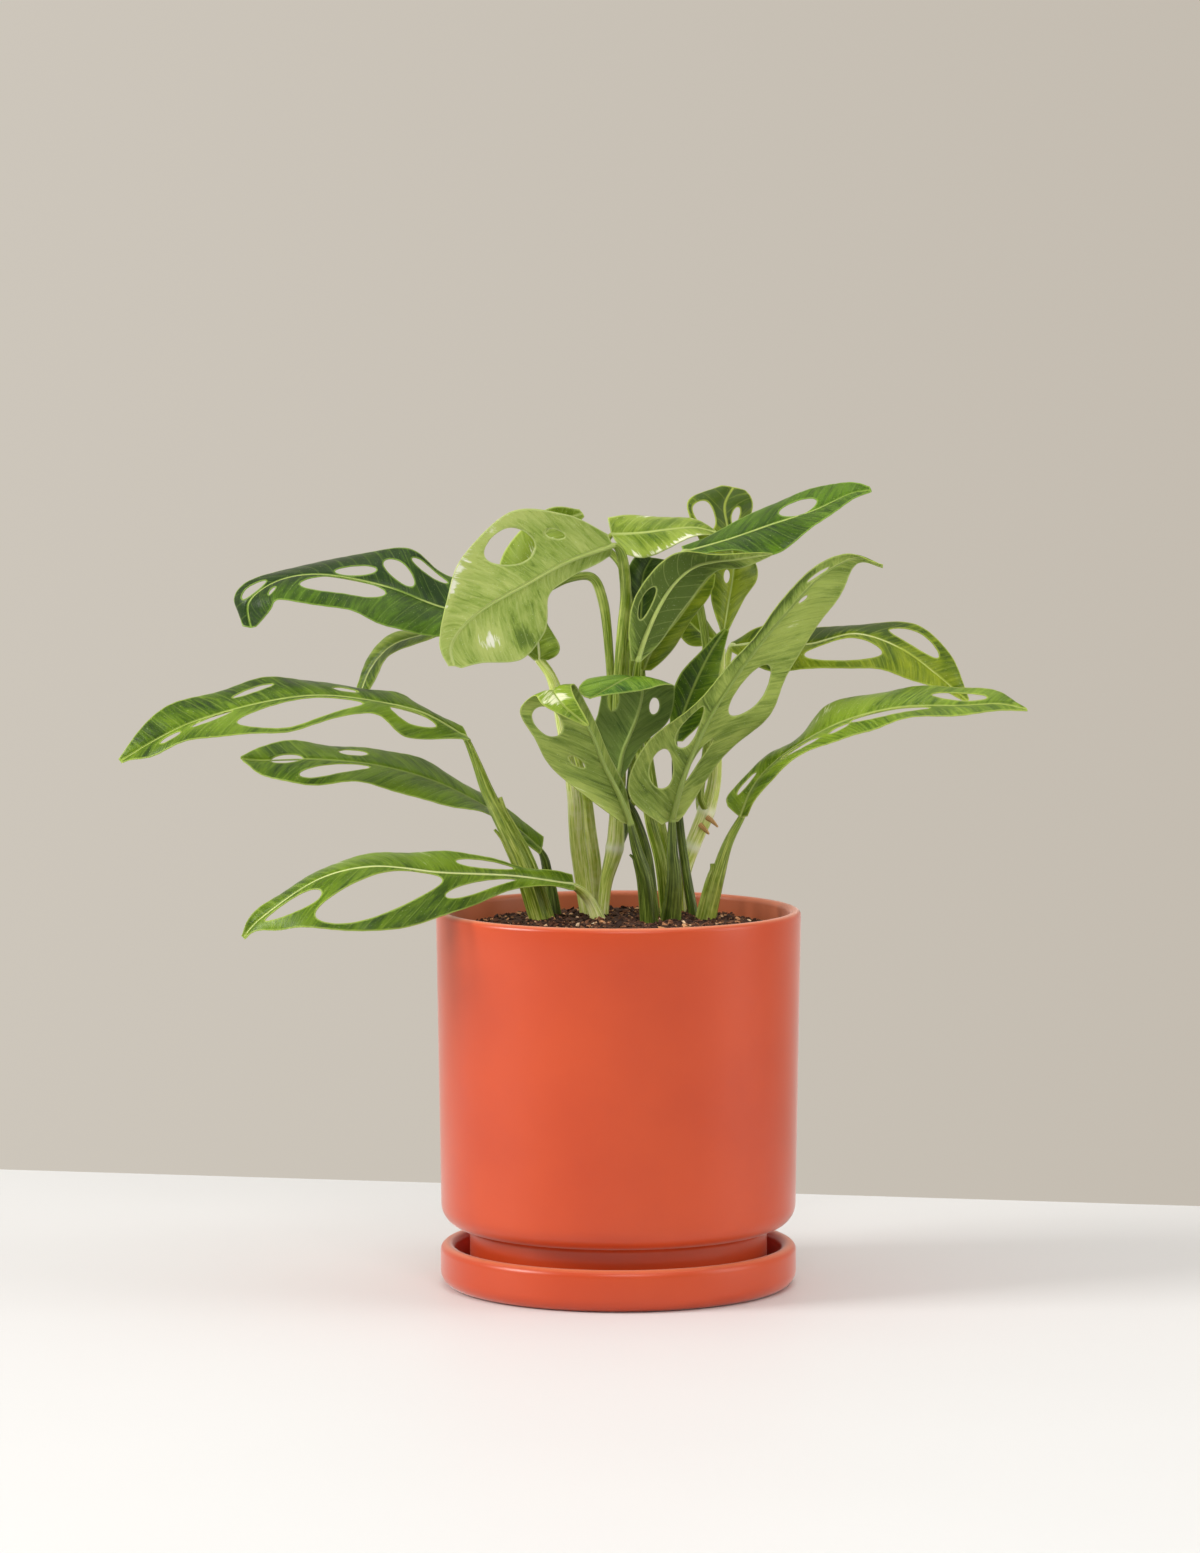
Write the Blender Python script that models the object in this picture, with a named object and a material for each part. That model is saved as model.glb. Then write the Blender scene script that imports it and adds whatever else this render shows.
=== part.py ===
"""A variegated monstera in a cylindrical ceramic pot that stands on its saucer.

Metres, +Z up. The origin is the centre of the saucer's underside, +X is the plant's long direction
and -Y is its front. Route points of the plant are in millimetres: x and y from the pot's axis, z from
the height of the pot's rim.
"""

import math

import bmesh
import bpy
from mathutils import Matrix, Vector
from mathutils.geometry import delaunay_2d_cdt

# Pot and saucer
POT_DIAMETER = 0.203
POT_TAPER = 0.0025  # how much smaller the radius is at the bottom corner than under the rim
POT_HEIGHT = 0.204
POT_WALL = 0.006
POT_CORNER = 0.012  # rounding between the wall and the underside
FOOT_INSET = 0.016  # from the bottom of the wall in to the foot
FOOT_HEIGHT = 0.027
FLOOR_THICKNESS = 0.009
DRAIN_DIAMETER = 0.020
SAUCER_TROUGH = 0.0083  # from the foot out to the saucer's wall
SAUCER_HEIGHT = 0.0235
SAUCER_WALL = 0.008
SAUCER_FLOOR = 0.006
SAUCER_CORNER = 0.006

# Soil
SOIL_BELOW_RIM = 0.012  # at the wall
SOIL_MOUND = 0.005  # how much higher the planted middle stands
PLANTED_RADIUS = 0.062  # in a pot of SPREAD_POT

# Plant
SPREAD_POT = 0.203  # the pot diameter that the plant's route points were set out in
BLADE_THICKNESS = 0.0009
JOINT_GAP = 0.002  # from a petiole's end to the middle of its blade's base
ROW_STEPS = 2  # faces between two rows of a blade
HOLE_POINTS = 10
PETIOLE_SIDES = 6
STEM_SIDES = 8

CLEARANCE = 0.0003  # between pieces that touch
TURN_STEPS = 48
MM = 0.001

BODY_RADIUS = POT_DIAMETER / 2
LOW_RADIUS = BODY_RADIUS - POT_TAPER
FOOT_RADIUS = LOW_RADIUS - FOOT_INSET
POT_BOTTOM = SAUCER_FLOOR + CLEARANCE
UNDERSIDE = POT_BOTTOM + FOOT_HEIGHT
RIM = POT_BOTTOM + POT_HEIGHT
PLAN_SCALE = POT_DIAMETER / SPREAD_POT

# Each leaf is a list of rows from the petiole to the tip. A row holds three points: the left margin, the
# midrib and the right margin, seen from above with the tip ahead. A hole runs between two places on the
# blade, (row, side, row, side, width), where side is 0 on the midrib, -1 on the left margin and 1 on the
# right, and the width is in the same units as side.
LEAVES = {
    "low_left": {
        "rows": [
            [(-24, 2, 10), (-25, 6, 13), (-26, 10, 18)],
            [(-56, -24, 14), (-58, -15, 20), (-58, -8, 26)],
            [(-94, -66, 3), (-98, -45, 25), (-98, -28, 35)],
            [(-132, -90, -2), (-133, -60, 30), (-134, -40, 34)],
            [(-168, -84, -2), (-164, -62, 23), (-165, -46, 26)],
            [(-194, -68, -4), (-195, -62, 2), (-195, -56, 7)],
            [(-204, -62, -10), (-205, -62, -9), (-206, -62, -8)],
        ],
        "holes": [
            (2.0, -0.2, 3.9, -0.76, 0.65),
            (3.85, -0.4, 4.9, -0.45, 0.45),
            (1.0, -0.4, 2.0, -0.6, 0.35),
            (1.0, 0.55, 1.8, 0.5, 0.45),
        ],
        "petiole": [(-10, 14, -8, 9), (-15, 14, 1, 6.5), (-20, 11, 8, 5.5)],
    },
    "long_left": {
        "rows": [
            [(-82, 0, 94), (-84, 5, 95), (-87, 10, 101)],
            [(-116, -16, 98), (-107, 0, 109), (-111, 14, 113)],
            [(-136, -22, 110), (-133, -5, 116), (-131, 14, 120)],
            [(-166, -36, 106), (-165, -10, 120), (-166, 12, 126)],
            [(-198, -40, 100), (-198, -14, 116), (-198, 8, 127)],
            [(-236, -36, 97), (-234, -18, 106), (-237, -4, 118)],
            [(-259, -28, 87), (-257, -19, 95), (-257, -8, 108)],
            [(-274, -21, 83), (-275, -20, 84), (-276, -19, 85)],
        ],
        "holes": [
            (2.25, -0.45, 4.3, -0.6, 0.75),
            (0.7, -0.4, 1.7, -0.35, 0.5),
            (2.4, 0.35, 2.8, 0.4, 0.25),
            (3.8, 0.6, 4.4, 0.4, 0.2),
            (4.4, -0.1, 5.0, -0.4, 0.25),
            (5.2, -0.5, 5.7, -0.5, 0.3),
        ],
        "petiole": [
            (-42, 14, -6, 10.5),
            (-49, 13, 12, 10),
            (-55, 12, 28, 9.5),
            (-64, 9, 46, 8.5),
            (-73, 7, 65, 7),
            (-79, 5, 81, 5),
        ],
    },
    "mid_left": {
        "rows": [
            [(-44, 24, 28), (-43, 28, 30), (-42, 33, 37)],
            [(-67, 18, 47), (-64, 30, 48), (-63, 42, 51)],
            [(-101, 16, 58), (-100, 36, 67), (-102, 54, 75)],
            [(-140, 22, 67), (-137, 42, 77), (-138, 60, 84)],
            [(-178, 28, 68), (-176, 46, 80), (-177, 62, 88)],
            [(-200, 38, 71), (-201, 48, 79), (-201, 56, 86)],
            [(-211, 47, 78), (-213, 48, 80), (-213, 49, 81)],
        ],
        "holes": [
            (4.05, 0.0, 4.75, -0.05, 0.45),
            (3.1, 0.5, 3.5, 0.45, 0.35),
            (3.05, -0.25, 4.05, -0.7, 0.45),
        ],
        "petiole": [(-37, 30, -7, 9), (-39, 32, 10, 6), (-41, 30, 23, 5)],
    },
    "upper_left": {
        "rows": [
            [(-55, 25, 168), (-55, 30, 171), (-55, 35, 175)],
            [(-87, 10, 153), (-91, 28, 165), (-93, 42, 183)],
            [(-126, 4, 156), (-129, 26, 178), (-121, 46, 198)],
            [(-152, 2, 167), (-164, 25, 185), (-159, 46, 193)],
            [(-185, 6, 172), (-189, 24, 182), (-198, 36, 183)],
            [(-193, 12, 165), (-206, 24, 170), (-215, 34, 172)],
            [(-202, 22, 156), (-205, 24, 155), (-210, 26, 156)],
        ],
        "holes": [
            (2.05, -0.2, 3.6, -0.45, 0.55),
            (2.25, 0.3, 2.85, 0.15, 0.3),
            (1.65, 0.25, 2.2, 0.55, 0.4),
            (1.1, 0.72, 1.8, 0.78, 0.25),
            (4.2, 0.35, 5.0, 0.35, 0.5),
            (4.15, -0.4, 4.45, -0.55, 0.2),
        ],
        "petiole": [
            (-6, 42, 63, 5),
            (-4, 35, 114, 4.5),
            (-6, 34, 150, 5),
            (-9, 33, 171, 5.5),
            (-15, 32, 183, 5),
            (-28, 31, 182, 4),
            (-43, 30, 175, 4),
        ],
    },
    "front_pale": {
        "rows": [
            [(-6, 10, 208), (-3, 14, 202), (-4, 18, 196)],
            [(-29, -14, 220), (-28, 0, 194), (-25, 8, 185)],
            [(-57, -38, 222), (-53, -18, 181), (-38, -4, 174)],
            [(-85, -50, 199), (-73, -32, 170), (-42, -8, 154)],
            [(-94, -50, 174), (-86, -40, 159), (-53, -20, 140)],
            [(-98, -46, 151), (-92, -42, 148), (-75, -32, 139)],
            [(-93, -43, 138), (-90, -42, 138), (-86, -41, 137)],
        ],
        "holes": [(1.6, -0.42, 2.6, -0.68, 0.5), (1.0, -0.5, 1.4, -0.62, 0.18)],
        "petiole": [
            (-1, 30, 66, 6.5),
            (0, 24, 115, 6.5),
            (2, 20, 149, 6.5),
            (4, 18, 172, 6),
            (3, 16, 189, 6),
            (1, 15, 198, 5),
        ],
    },
    "drooping": {
        "rows": [
            [(-81, 44, 156), (-81, 48, 159), (-81, 52, 161)],
            [(-105, 42, 148), (-106, 50, 151), (-108, 58, 152)],
            [(-126, 42, 139), (-127, 52, 144), (-128, 62, 150)],
            [(-136, 46, 127), (-140, 54, 130), (-143, 62, 135)],
            [(-146, 53, 112), (-147, 54, 112), (-149, 55, 113)],
        ],
        "holes": [],
        "petiole": [
            (-12, 54, -4, 6),
            (-13, 50, 17, 7),
            (-16, 45, 40, 7),
            (-19, 38, 64, 6),
            (-27, 32, 95, 4),
            (-35, 27, 124, 4),
            (-47, 30, 140, 4),
            (-65, 44, 148, 4),
        ],
    },
    "behind_pale": {
        "rows": [
            [(-47, 6, 138), (-44, 8, 138), (-39, 12, 138)],
            [(-57, 4, 149), (-45, 8, 150), (-33, 10, 145)],
            [(-66, 8, 171), (-49, 12, 173), (-41, 14, 165)],
            [(-64, 20, 197), (-49, 22, 194), (-36, 24, 194)],
            [(-41, 26, 221), (-37, 28, 212), (-26, 30, 209)],
            [(-22, 32, 221), (-20, 32, 219), (-19, 32, 217)],
        ],
        "holes": [],
        "petiole": [
            (-17, 34, -4, 8),
            (-20, 34, 13, 9),
            (-23, 30, 36, 9),
            (-25, 23, 65, 8),
            (-31, 16, 96, 5.5),
            (-37, 11, 126, 5),
        ],
    },
    "top_pale": {
        "rows": [
            [(-6, 38, 216), (-4, 34, 207), (3, 30, 196)],
            [(11, 44, 217), (12, 30, 208), (13, 22, 195)],
            [(28, 46, 217), (28, 30, 210), (28, 20, 200)],
            [(43, 42, 215), (43, 32, 211), (43, 24, 205)],
            [(54, 36, 209), (55, 34, 208), (55, 32, 206)],
        ],
        "holes": [],
        "petiole": [
            (9, 37, 58, 4),
            (8, 34, 81, 4),
            (7, 31, 115, 4),
            (7, 31, 160, 4),
            (2, 36, 188, 4),
            (-7, 36, 200, 4),
        ],
    },
    "top_back": {
        "rows": [
            [(57, 38, 153), (59, 40, 151), (62, 42, 153)],
            [(53, 42, 170), (62, 48, 168), (71, 54, 170)],
            [(50, 44, 191), (65, 52, 189), (78, 60, 184)],
            [(41, 48, 213), (62, 56, 208), (73, 64, 205)],
            [(40, 54, 226), (60, 60, 222), (76, 66, 222)],
            [(58, 68, 233), (65, 70, 232), (72, 72, 230)],
        ],
        "holes": [(2.85, -0.6, 4.0, -0.6, 0.55), (3.2, 0.3, 3.9, 0.45, 0.3), (1.5, -0.3, 1.85, -0.3, 0.3)],
        "petiole": [],
    },
    "upper_right": {
        "rows": [
            [(35, 15, 201), (36, 12, 198), (39, 9, 195)],
            [(62, 28, 211), (61, 16, 205), (62, 6, 199)],
            [(85, 38, 224), (85, 22, 213), (87, 6, 198)],
            [(108, 38, 232), (109, 22, 221), (111, 6, 213)],
            [(127, 34, 235), (129, 24, 230), (129, 16, 227)],
            [(140, 25, 234), (141, 24, 232), (141, 23, 231)],
        ],
        "holes": [(2.2, -0.32, 3.1, -0.28, 0.55)],
        "petiole": [
            (46, 42, 60, 4.5),
            (49, 42, 80, 4.5),
            (51, 42, 103, 4.5),
            (50, 42, 137, 4.5),
            (46, 42, 165, 4.5),
            (40, 30, 185, 4.5),
        ],
    },
    "right_under": {
        "rows": [
            [(12, -10, 138), (10, -12, 139), (7, -14, 139)],
            [(24, -2, 149), (15, -10, 154), (5, -18, 157)],
            [(37, 6, 169), (27, -4, 177), (11, -18, 178)],
            [(53, 12, 185), (43, 2, 191), (31, -12, 197)],
            [(69, 2, 190), (65, -4, 195), (57, -12, 199)],
            [(85, -3, 197), (85, -4, 198), (85, -5, 198)],
        ],
        "holes": [(1.3, 0.45, 2.1, 0.5, 0.45)],
        "petiole": [
            (28, 22, -3, 8),
            (24, 20, 23, 7),
            (18, 18, 47, 6),
            (13, 12, 77, 5),
            (10, 2, 111, 5),
            (10, -8, 129, 5),
        ],
    },
    "long_up": {
        "rows": [
            [(33, 6, 48), (29, 2, 49), (24, -2, 47)],
            [(41, 10, 59), (33, -2, 65), (6, -14, 65)],
            [(57, 14, 82), (40, -6, 86), (15, -22, 93)],
            [(80, 16, 102), (53, -8, 113), (39, -22, 114)],
            [(95, 18, 130), (74, -4, 143), (68, -12, 143)],
            [(112, 20, 157), (92, 2, 164), (87, -6, 169)],
            [(125, 16, 178), (112, 8, 185), (105, 0, 187)],
            [(134, 15, 191), (132, 12, 195), (128, 8, 197)],
            [(147, 15, 189), (147, 14, 190), (147, 13, 191)],
        ],
        "holes": [
            (1.1, 0.32, 2.0, 0.52, 0.45),
            (2.1, 0.25, 3.0, 0.42, 0.45),
            (1.35, -0.22, 2.4, -0.4, 0.25),
            (2.95, -0.45, 3.95, -0.55, 0.5),
            (5.3, -0.15, 5.5, -0.2, 0.15),
            (5.75, 0.3, 6.3, 0.2, 0.25),
        ],
        "petiole": [(29, 4, -6, 12), (31, 2, 16, 8), (30, 2, 33, 6)],
    },
    "right_back": {
        "rows": [
            [(64, 58, 145), (63, 54, 143), (64, 50, 140)],
            [(83, 56, 154), (83, 48, 146), (83, 38, 130)],
            [(109, 56, 153), (107, 44, 145), (102, 32, 132)],
            [(136, 54, 156), (133, 42, 151), (130, 26, 132)],
            [(168, 54, 154), (158, 40, 143), (152, 26, 130)],
            [(187, 46, 139), (179, 38, 128), (173, 30, 123)],
            [(197, 39, 114), (196, 38, 113), (194, 37, 113)],
        ],
        "holes": [(2.0, 0.48, 3.65, 0.48, 0.65), (3.6, -0.5, 4.8, -0.5, 0.5)],
        "petiole": [(51, 58, 53, 4.5), (55, 58, 73, 4.5), (58, 58, 102, 4.5), (60, 57, 124, 4.5)],
    },
    "long_right": {
        "rows": [
            [(61, 16, 56), (68, 12, 50), (72, 8, 51)],
            [(64, 20, 64), (74, 9, 66), (79, -1, 66)],
            [(81, 18, 84), (84, 6, 79), (91, -8, 80)],
            [(99, 18, 93), (99, 4, 91), (108, -12, 89)],
            [(119, 20, 112), (125, 0, 105), (129, -16, 98)],
            [(156, 18, 122), (156, -4, 113), (151, -20, 105)],
            [(191, 8, 122), (190, -8, 114), (188, -20, 110)],
            [(212, 0, 121), (211, -9, 115), (211, -16, 112)],
            [(225, -9, 113), (226, -10, 112), (226, -11, 111)],
        ],
        "holes": [
            (4.1, 0.3, 5.5, 0.35, 0.45),
            (5.5, -0.45, 6.6, -0.35, 0.4),
            (0.8, -0.5, 1.6, -0.35, 0.3),
            (3.6, 0.5, 4.05, 0.4, 0.2),
            (2.3, 0.4, 3.4, 0.45, 0.3),
        ],
        "petiole": [(49, 14, -6, 9.5), (55, 14, 15, 8), (61, 13, 35, 5.5)],
    },
    "front_curled": {
        "rows": [
            [(8, -8, 50), (6, -10, 48), (2, -12, 49)],
            [(3, -8, 68), (0, -14, 64), (-16, -22, 63)],
            [(-5, -12, 87), (-9, -20, 83), (-36, -30, 81)],
            [(-12, -18, 104), (-16, -26, 101), (-46, -38, 97)],
            [(-21, -26, 122), (-28, -34, 118), (-54, -44, 113)],
            [(-26, -40, 129), (-36, -42, 125), (-46, -50, 122)],
            [(-24, -50, 121), (-30, -52, 117), (-40, -54, 116)],
            [(-16, -54, 107), (-17, -54, 106), (-18, -54, 106)],
        ],
        "holes": [(3.0, 0.6, 4.0, 0.55, 0.5), (1.9, 0.4, 2.3, 0.5, 0.2)],
        "petiole": [(18, -4, -5, 9), (15, -6, 17, 7.5), (10, -8, 34, 6)],
    },
    "folded_top": {
        "rows": [
            [(2, -2, 73), (-1, -4, 72), (-4, -6, 73)],
            [(12, 4, 90), (2, -4, 88), (-15, -8, 93)],
            [(28, 4, 104), (9, -6, 105), (-11, -8, 111)],
            [(31, -4, 123), (13, -10, 122), (-10, -14, 126)],
            [(27, -20, 127), (8, -22, 131), (-16, -26, 129)],
            [(12, -34, 124), (-5, -34, 126), (-22, -36, 125)],
            [(-12, -40, 121), (-16, -40, 120), (-19, -40, 121)],
        ],
        "holes": [(2.1, 0.65, 2.9, 0.7, 0.3), (2.2, -0.5, 2.7, -0.4, 0.3)],
        "petiole": [(20, 14, -4, 7), (16, 12, 27, 6), (9, 6, 51, 5), (1, -2, 64, 4.5)],
    },
    "narrow_fold": {
        "rows": [
            [(11, 12, 133), (14, 14, 132), (18, 16, 132)],
            [(15, 8, 149), (20, 14, 145), (30, 22, 142)],
            [(26, 10, 162), (33, 16, 160), (40, 24, 158)],
            [(40, 14, 177), (44, 20, 175), (49, 26, 171)],
            [(53, 23, 186), (53, 24, 186), (54, 25, 185)],
        ],
        "holes": [],
        "petiole": [(32, 33, -5, 6), (28, 32, 25, 5), (21, 28, 59, 4.5), (16, 22, 93, 4), (14, 17, 119, 4)],
    },
    "lime_back": {
        "rows": [
            [(53, 54, 144), (56, 58, 145), (57, 62, 148)],
            [(40, 54, 144), (46, 62, 151), (49, 70, 159)],
            [(32, 58, 154), (37, 66, 160), (40, 72, 166)],
            [(25, 66, 166), (28, 70, 169), (31, 72, 171)],
        ],
        "holes": [],
        "petiole": [(46, 60, 56, 4), (50, 62, 84, 4), (54, 62, 118, 4)],
    },
    "broad_back": {
        "rows": [
            [(30, 29, 92), (32, 30, 91), (36, 31, 91)],
            [(29, 27, 112), (36, 32, 106), (46, 35, 102)],
            [(34, 26, 129), (44, 32, 126), (55, 36, 120)],
            [(47, 30, 143), (52, 34, 142), (58, 37, 136)],
            [(59, 35, 154), (60, 36, 154), (62, 37, 153)],
        ],
        "holes": [],
        "petiole": [(43, 34, -6, 6), (37, 36, 24, 5), (33, 33, 58, 4.5), (32, 31, 78, 4)],
    },
    "shaded_back": {
        "rows": [
            [(9, 42, 148), (12, 44, 148), (16, 46, 147)],
            [(4, 40, 167), (13, 46, 166), (24, 52, 167)],
            [(5, 42, 185), (14, 48, 183), (28, 56, 181)],
            [(10, 50, 195), (19, 54, 193), (28, 60, 191)],
        ],
        "holes": [],
        "petiole": [(4, 47, 40, 4), (7, 46, 69, 4), (11, 45, 108, 4)],
    },
}

# Stems and aerial roots: (x, y, z, diameter) along each.
STEMS = {
    "left": [(-9, 30, -6, 6), (-7, 31, 11, 7), (-2, 32, 31, 9.5), (-1, 31, 50, 8), (0, 30, 64, 7)],
    "right": [
        (37, 50, -7, 9),
        (36, 50, 11, 9),
        (41, 50, 28, 8.5),
        (49, 50, 48, 9.5),
        (54, 48, 66, 7.5),
        (55, 48, 91, 7),
        (56, 48, 119, 7.5),
        (57, 47, 142, 6.5),
    ],
}
# Root points count from the node of the right stem that the roots grow from, so they follow that stem.
ROOT_NODE = 3
ROOTS = {
    "upper": [(1, -6, -1, 3), (4, -8, -3, 2.4), (7, -10, -6, 1)],
    "lower": [(-3, -6, -5, 3), (0, -8, -8, 2.4), (2, -10, -10, 1)],
}


def material(name, colour, roughness):
    made = bpy.data.materials.new(name)
    made.use_nodes = True
    made.diffuse_color = (*colour, 1)
    shader = made.node_tree.nodes["Principled BSDF"]
    shader.inputs["Base Color"].default_value = (*colour, 1)
    shader.inputs["Roughness"].default_value = roughness
    shader.inputs["Metallic"].default_value = 0
    return made


def add_object(name, bm, surface):
    """The finished mesh as an object of the scene."""
    bmesh.ops.recalc_face_normals(bm, faces=bm.faces)
    mesh = bpy.data.meshes.new(name)
    bm.to_mesh(mesh)
    bm.free()
    mesh.materials.append(surface)
    mesh.shade_smooth()
    mesh.set_sharp_from_angle(angle=math.radians(40))
    made = bpy.data.objects.new(name, mesh)
    bpy.context.scene.collection.objects.link(made)
    return made


def arc(centre_r, centre_z, radius, start, end, count=4):
    """Points of a profile's rounded corner, between two angles in degrees."""
    angles = [math.radians(start + (end - start) * i / count) for i in range(count + 1)]
    return [(centre_r + radius * math.cos(a), centre_z + radius * math.sin(a)) for a in angles]


def turned(name, profile, surface):
    """A closed profile of (radius, height) turned once round the pot's axis."""
    bm = bmesh.new()
    points = [bm.verts.new((r, 0, z)) for r, z in profile]
    edges = [bm.edges.new(pair) for pair in zip(points, points[1:] + points[:1])]
    bmesh.ops.spin(
        bm,
        geom=points + edges,
        cent=(0, 0, 0),
        axis=(0, 0, 1),
        angle=math.tau,
        steps=TURN_STEPS,
        use_merge=True,
    )
    bmesh.ops.remove_doubles(bm, verts=bm.verts, dist=1e-6)
    bmesh.ops.dissolve_degenerate(bm, edges=bm.edges, dist=1e-6)
    return add_object(name, bm, surface)


def make_saucer(surface):
    """A shallow tray with an upright wall, rounded inside and out."""
    inner = FOOT_RADIUS + SAUCER_TROUGH
    outer = inner + SAUCER_WALL
    lip = SAUCER_WALL / 2
    profile = [
        (0, SAUCER_FLOOR),
        (0, 0),
        *arc(outer - SAUCER_CORNER, SAUCER_CORNER, SAUCER_CORNER, -90, 0),
        *arc(outer - lip, SAUCER_HEIGHT - lip, lip, 0, 180, 6),
        *arc(inner - lip, SAUCER_FLOOR + lip, lip, 0, -90, 3),
    ]
    return turned("saucer", profile, surface)


def make_pot(surface):
    """A straight pot on a narrower foot, with a rounded lip and a drain hole in its floor."""
    lip = POT_WALL / 2
    foot_edge = 0.002
    recess = 0.003
    profile = [
        (DRAIN_DIAMETER / 2, POT_BOTTOM + recess),
        (FOOT_RADIUS - POT_WALL - recess, POT_BOTTOM + recess),
        (FOOT_RADIUS - POT_WALL, POT_BOTTOM),
        (FOOT_RADIUS - foot_edge, POT_BOTTOM),
        (FOOT_RADIUS, POT_BOTTOM + foot_edge),
        (FOOT_RADIUS, UNDERSIDE),
        *arc(LOW_RADIUS - POT_CORNER, UNDERSIDE + POT_CORNER, POT_CORNER, -90, 0),
        *arc(BODY_RADIUS - lip, RIM - lip, lip, 0, 180, 6),
        (LOW_RADIUS - POT_WALL, UNDERSIDE + POT_CORNER),
        (FOOT_RADIUS, UNDERSIDE + POT_WALL),
        (FOOT_RADIUS - POT_WALL, UNDERSIDE),
        (FOOT_RADIUS - POT_WALL, POT_BOTTOM + FLOOR_THICKNESS),
        (DRAIN_DIAMETER / 2, POT_BOTTOM + FLOOR_THICKNESS),
    ]
    return turned("pot", profile, surface)


def soil_height(radius):
    """Height of the soil's surface at a distance from the axis."""
    level = PLANTED_RADIUS * PLAN_SCALE
    reach = BODY_RADIUS - POT_WALL - level
    share = min(max((radius - level) / reach, 0), 1)
    return RIM - SOIL_BELOW_RIM + SOIL_MOUND * (1 + math.cos(math.pi * share)) / 2


def make_soil(surface):
    """The potting mix: it fills the pot and stands a little higher round the stems."""
    gap = 2 * CLEARANCE
    floor = POT_BOTTOM + FLOOR_THICKNESS + CLEARANCE
    edge = LOW_RADIUS - POT_WALL - gap
    rings = [edge - (edge - PLANTED_RADIUS * PLAN_SCALE) * i / 4 for i in range(5)]
    profile = [
        (0, soil_height(0)),
        (0, floor),
        (FOOT_RADIUS - POT_WALL - gap, floor),
        (FOOT_RADIUS - POT_WALL - gap, UNDERSIDE + gap),
        (FOOT_RADIUS - gap, UNDERSIDE + POT_WALL + gap),
        (edge, UNDERSIDE + POT_CORNER + gap),
        *[(radius, soil_height(radius)) for radius in rings],
    ]
    return turned("soil", profile, surface)


def place(x, y, z):
    """A route point of the plant, from millimetres to its place in the scene."""
    return Vector((x * MM * PLAN_SCALE, y * MM * PLAN_SCALE, RIM + z * MM))


def along(points, at):
    """The point of a smooth curve through the given ones, counted from 0 at the first."""
    last = len(points) - 1
    index = min(int(at), last - 1)
    t = at - index
    a = points[max(index - 1, 0)]
    b = points[index]
    c = points[index + 1]
    d = points[min(index + 2, last)]
    return 0.5 * (
        2 * b + (c - a) * t + (2 * a - 5 * b + 4 * c - d) * t**2 + (3 * b - a - 3 * c + d) * t**3
    )


def stalk(name, route, sides, surface, level_foot):
    """A round stalk along a route of (centre, diameter), its rings carried along without twist."""
    bm = bmesh.new()
    centres = [centre for centre, diameter in route]
    side = Vector((1, 0, 0))
    before = None
    for i, (centre, diameter) in enumerate(route):
        ahead = (centres[min(i + 1, len(route) - 1)] - centres[max(i - 1, 0)]).normalized()
        if i == 0 and level_foot:
            ahead = Vector((0, 0, 1))
        side = (side - ahead * side.dot(ahead)).normalized()
        frame = Matrix((side, ahead.cross(side), ahead)).transposed().to_4x4()
        ring = bmesh.ops.create_circle(
            bm, cap_ends=False, radius=diameter / 2, segments=sides, matrix=Matrix.Translation(centre) @ frame
        )["verts"]
        edges = [edge for edge in bm.edges if edge.verts[0] in ring and edge.verts[1] in ring]
        if before is None:
            bmesh.ops.contextual_create(bm, geom=edges)
        else:
            bmesh.ops.bridge_loops(bm, edges=before + edges)
        before = edges
    bmesh.ops.contextual_create(bm, geom=before)
    return add_object(name, bm, surface)


def stalk_route(points):
    """Route points in millimetres as (centre, diameter), standing on the soil where they reach it."""
    route = [(place(x, y, z), diameter * MM) for x, y, z, diameter in points]
    start, diameter = route[0]
    soil = soil_height(math.hypot(start.x, start.y)) + 2 * CLEARANCE
    if points[0][2] < 0:
        start.z = soil
    return route


def root_route(points):
    """Root points as (centre, diameter), each keeping its distance from the stem's node."""
    x, y, z, _ = STEMS["right"][ROOT_NODE]
    return [
        (place(x + along_x / PLAN_SCALE, y + along_y / PLAN_SCALE, z + up), diameter * MM)
        for along_x, along_y, up, diameter in points
    ]


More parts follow.
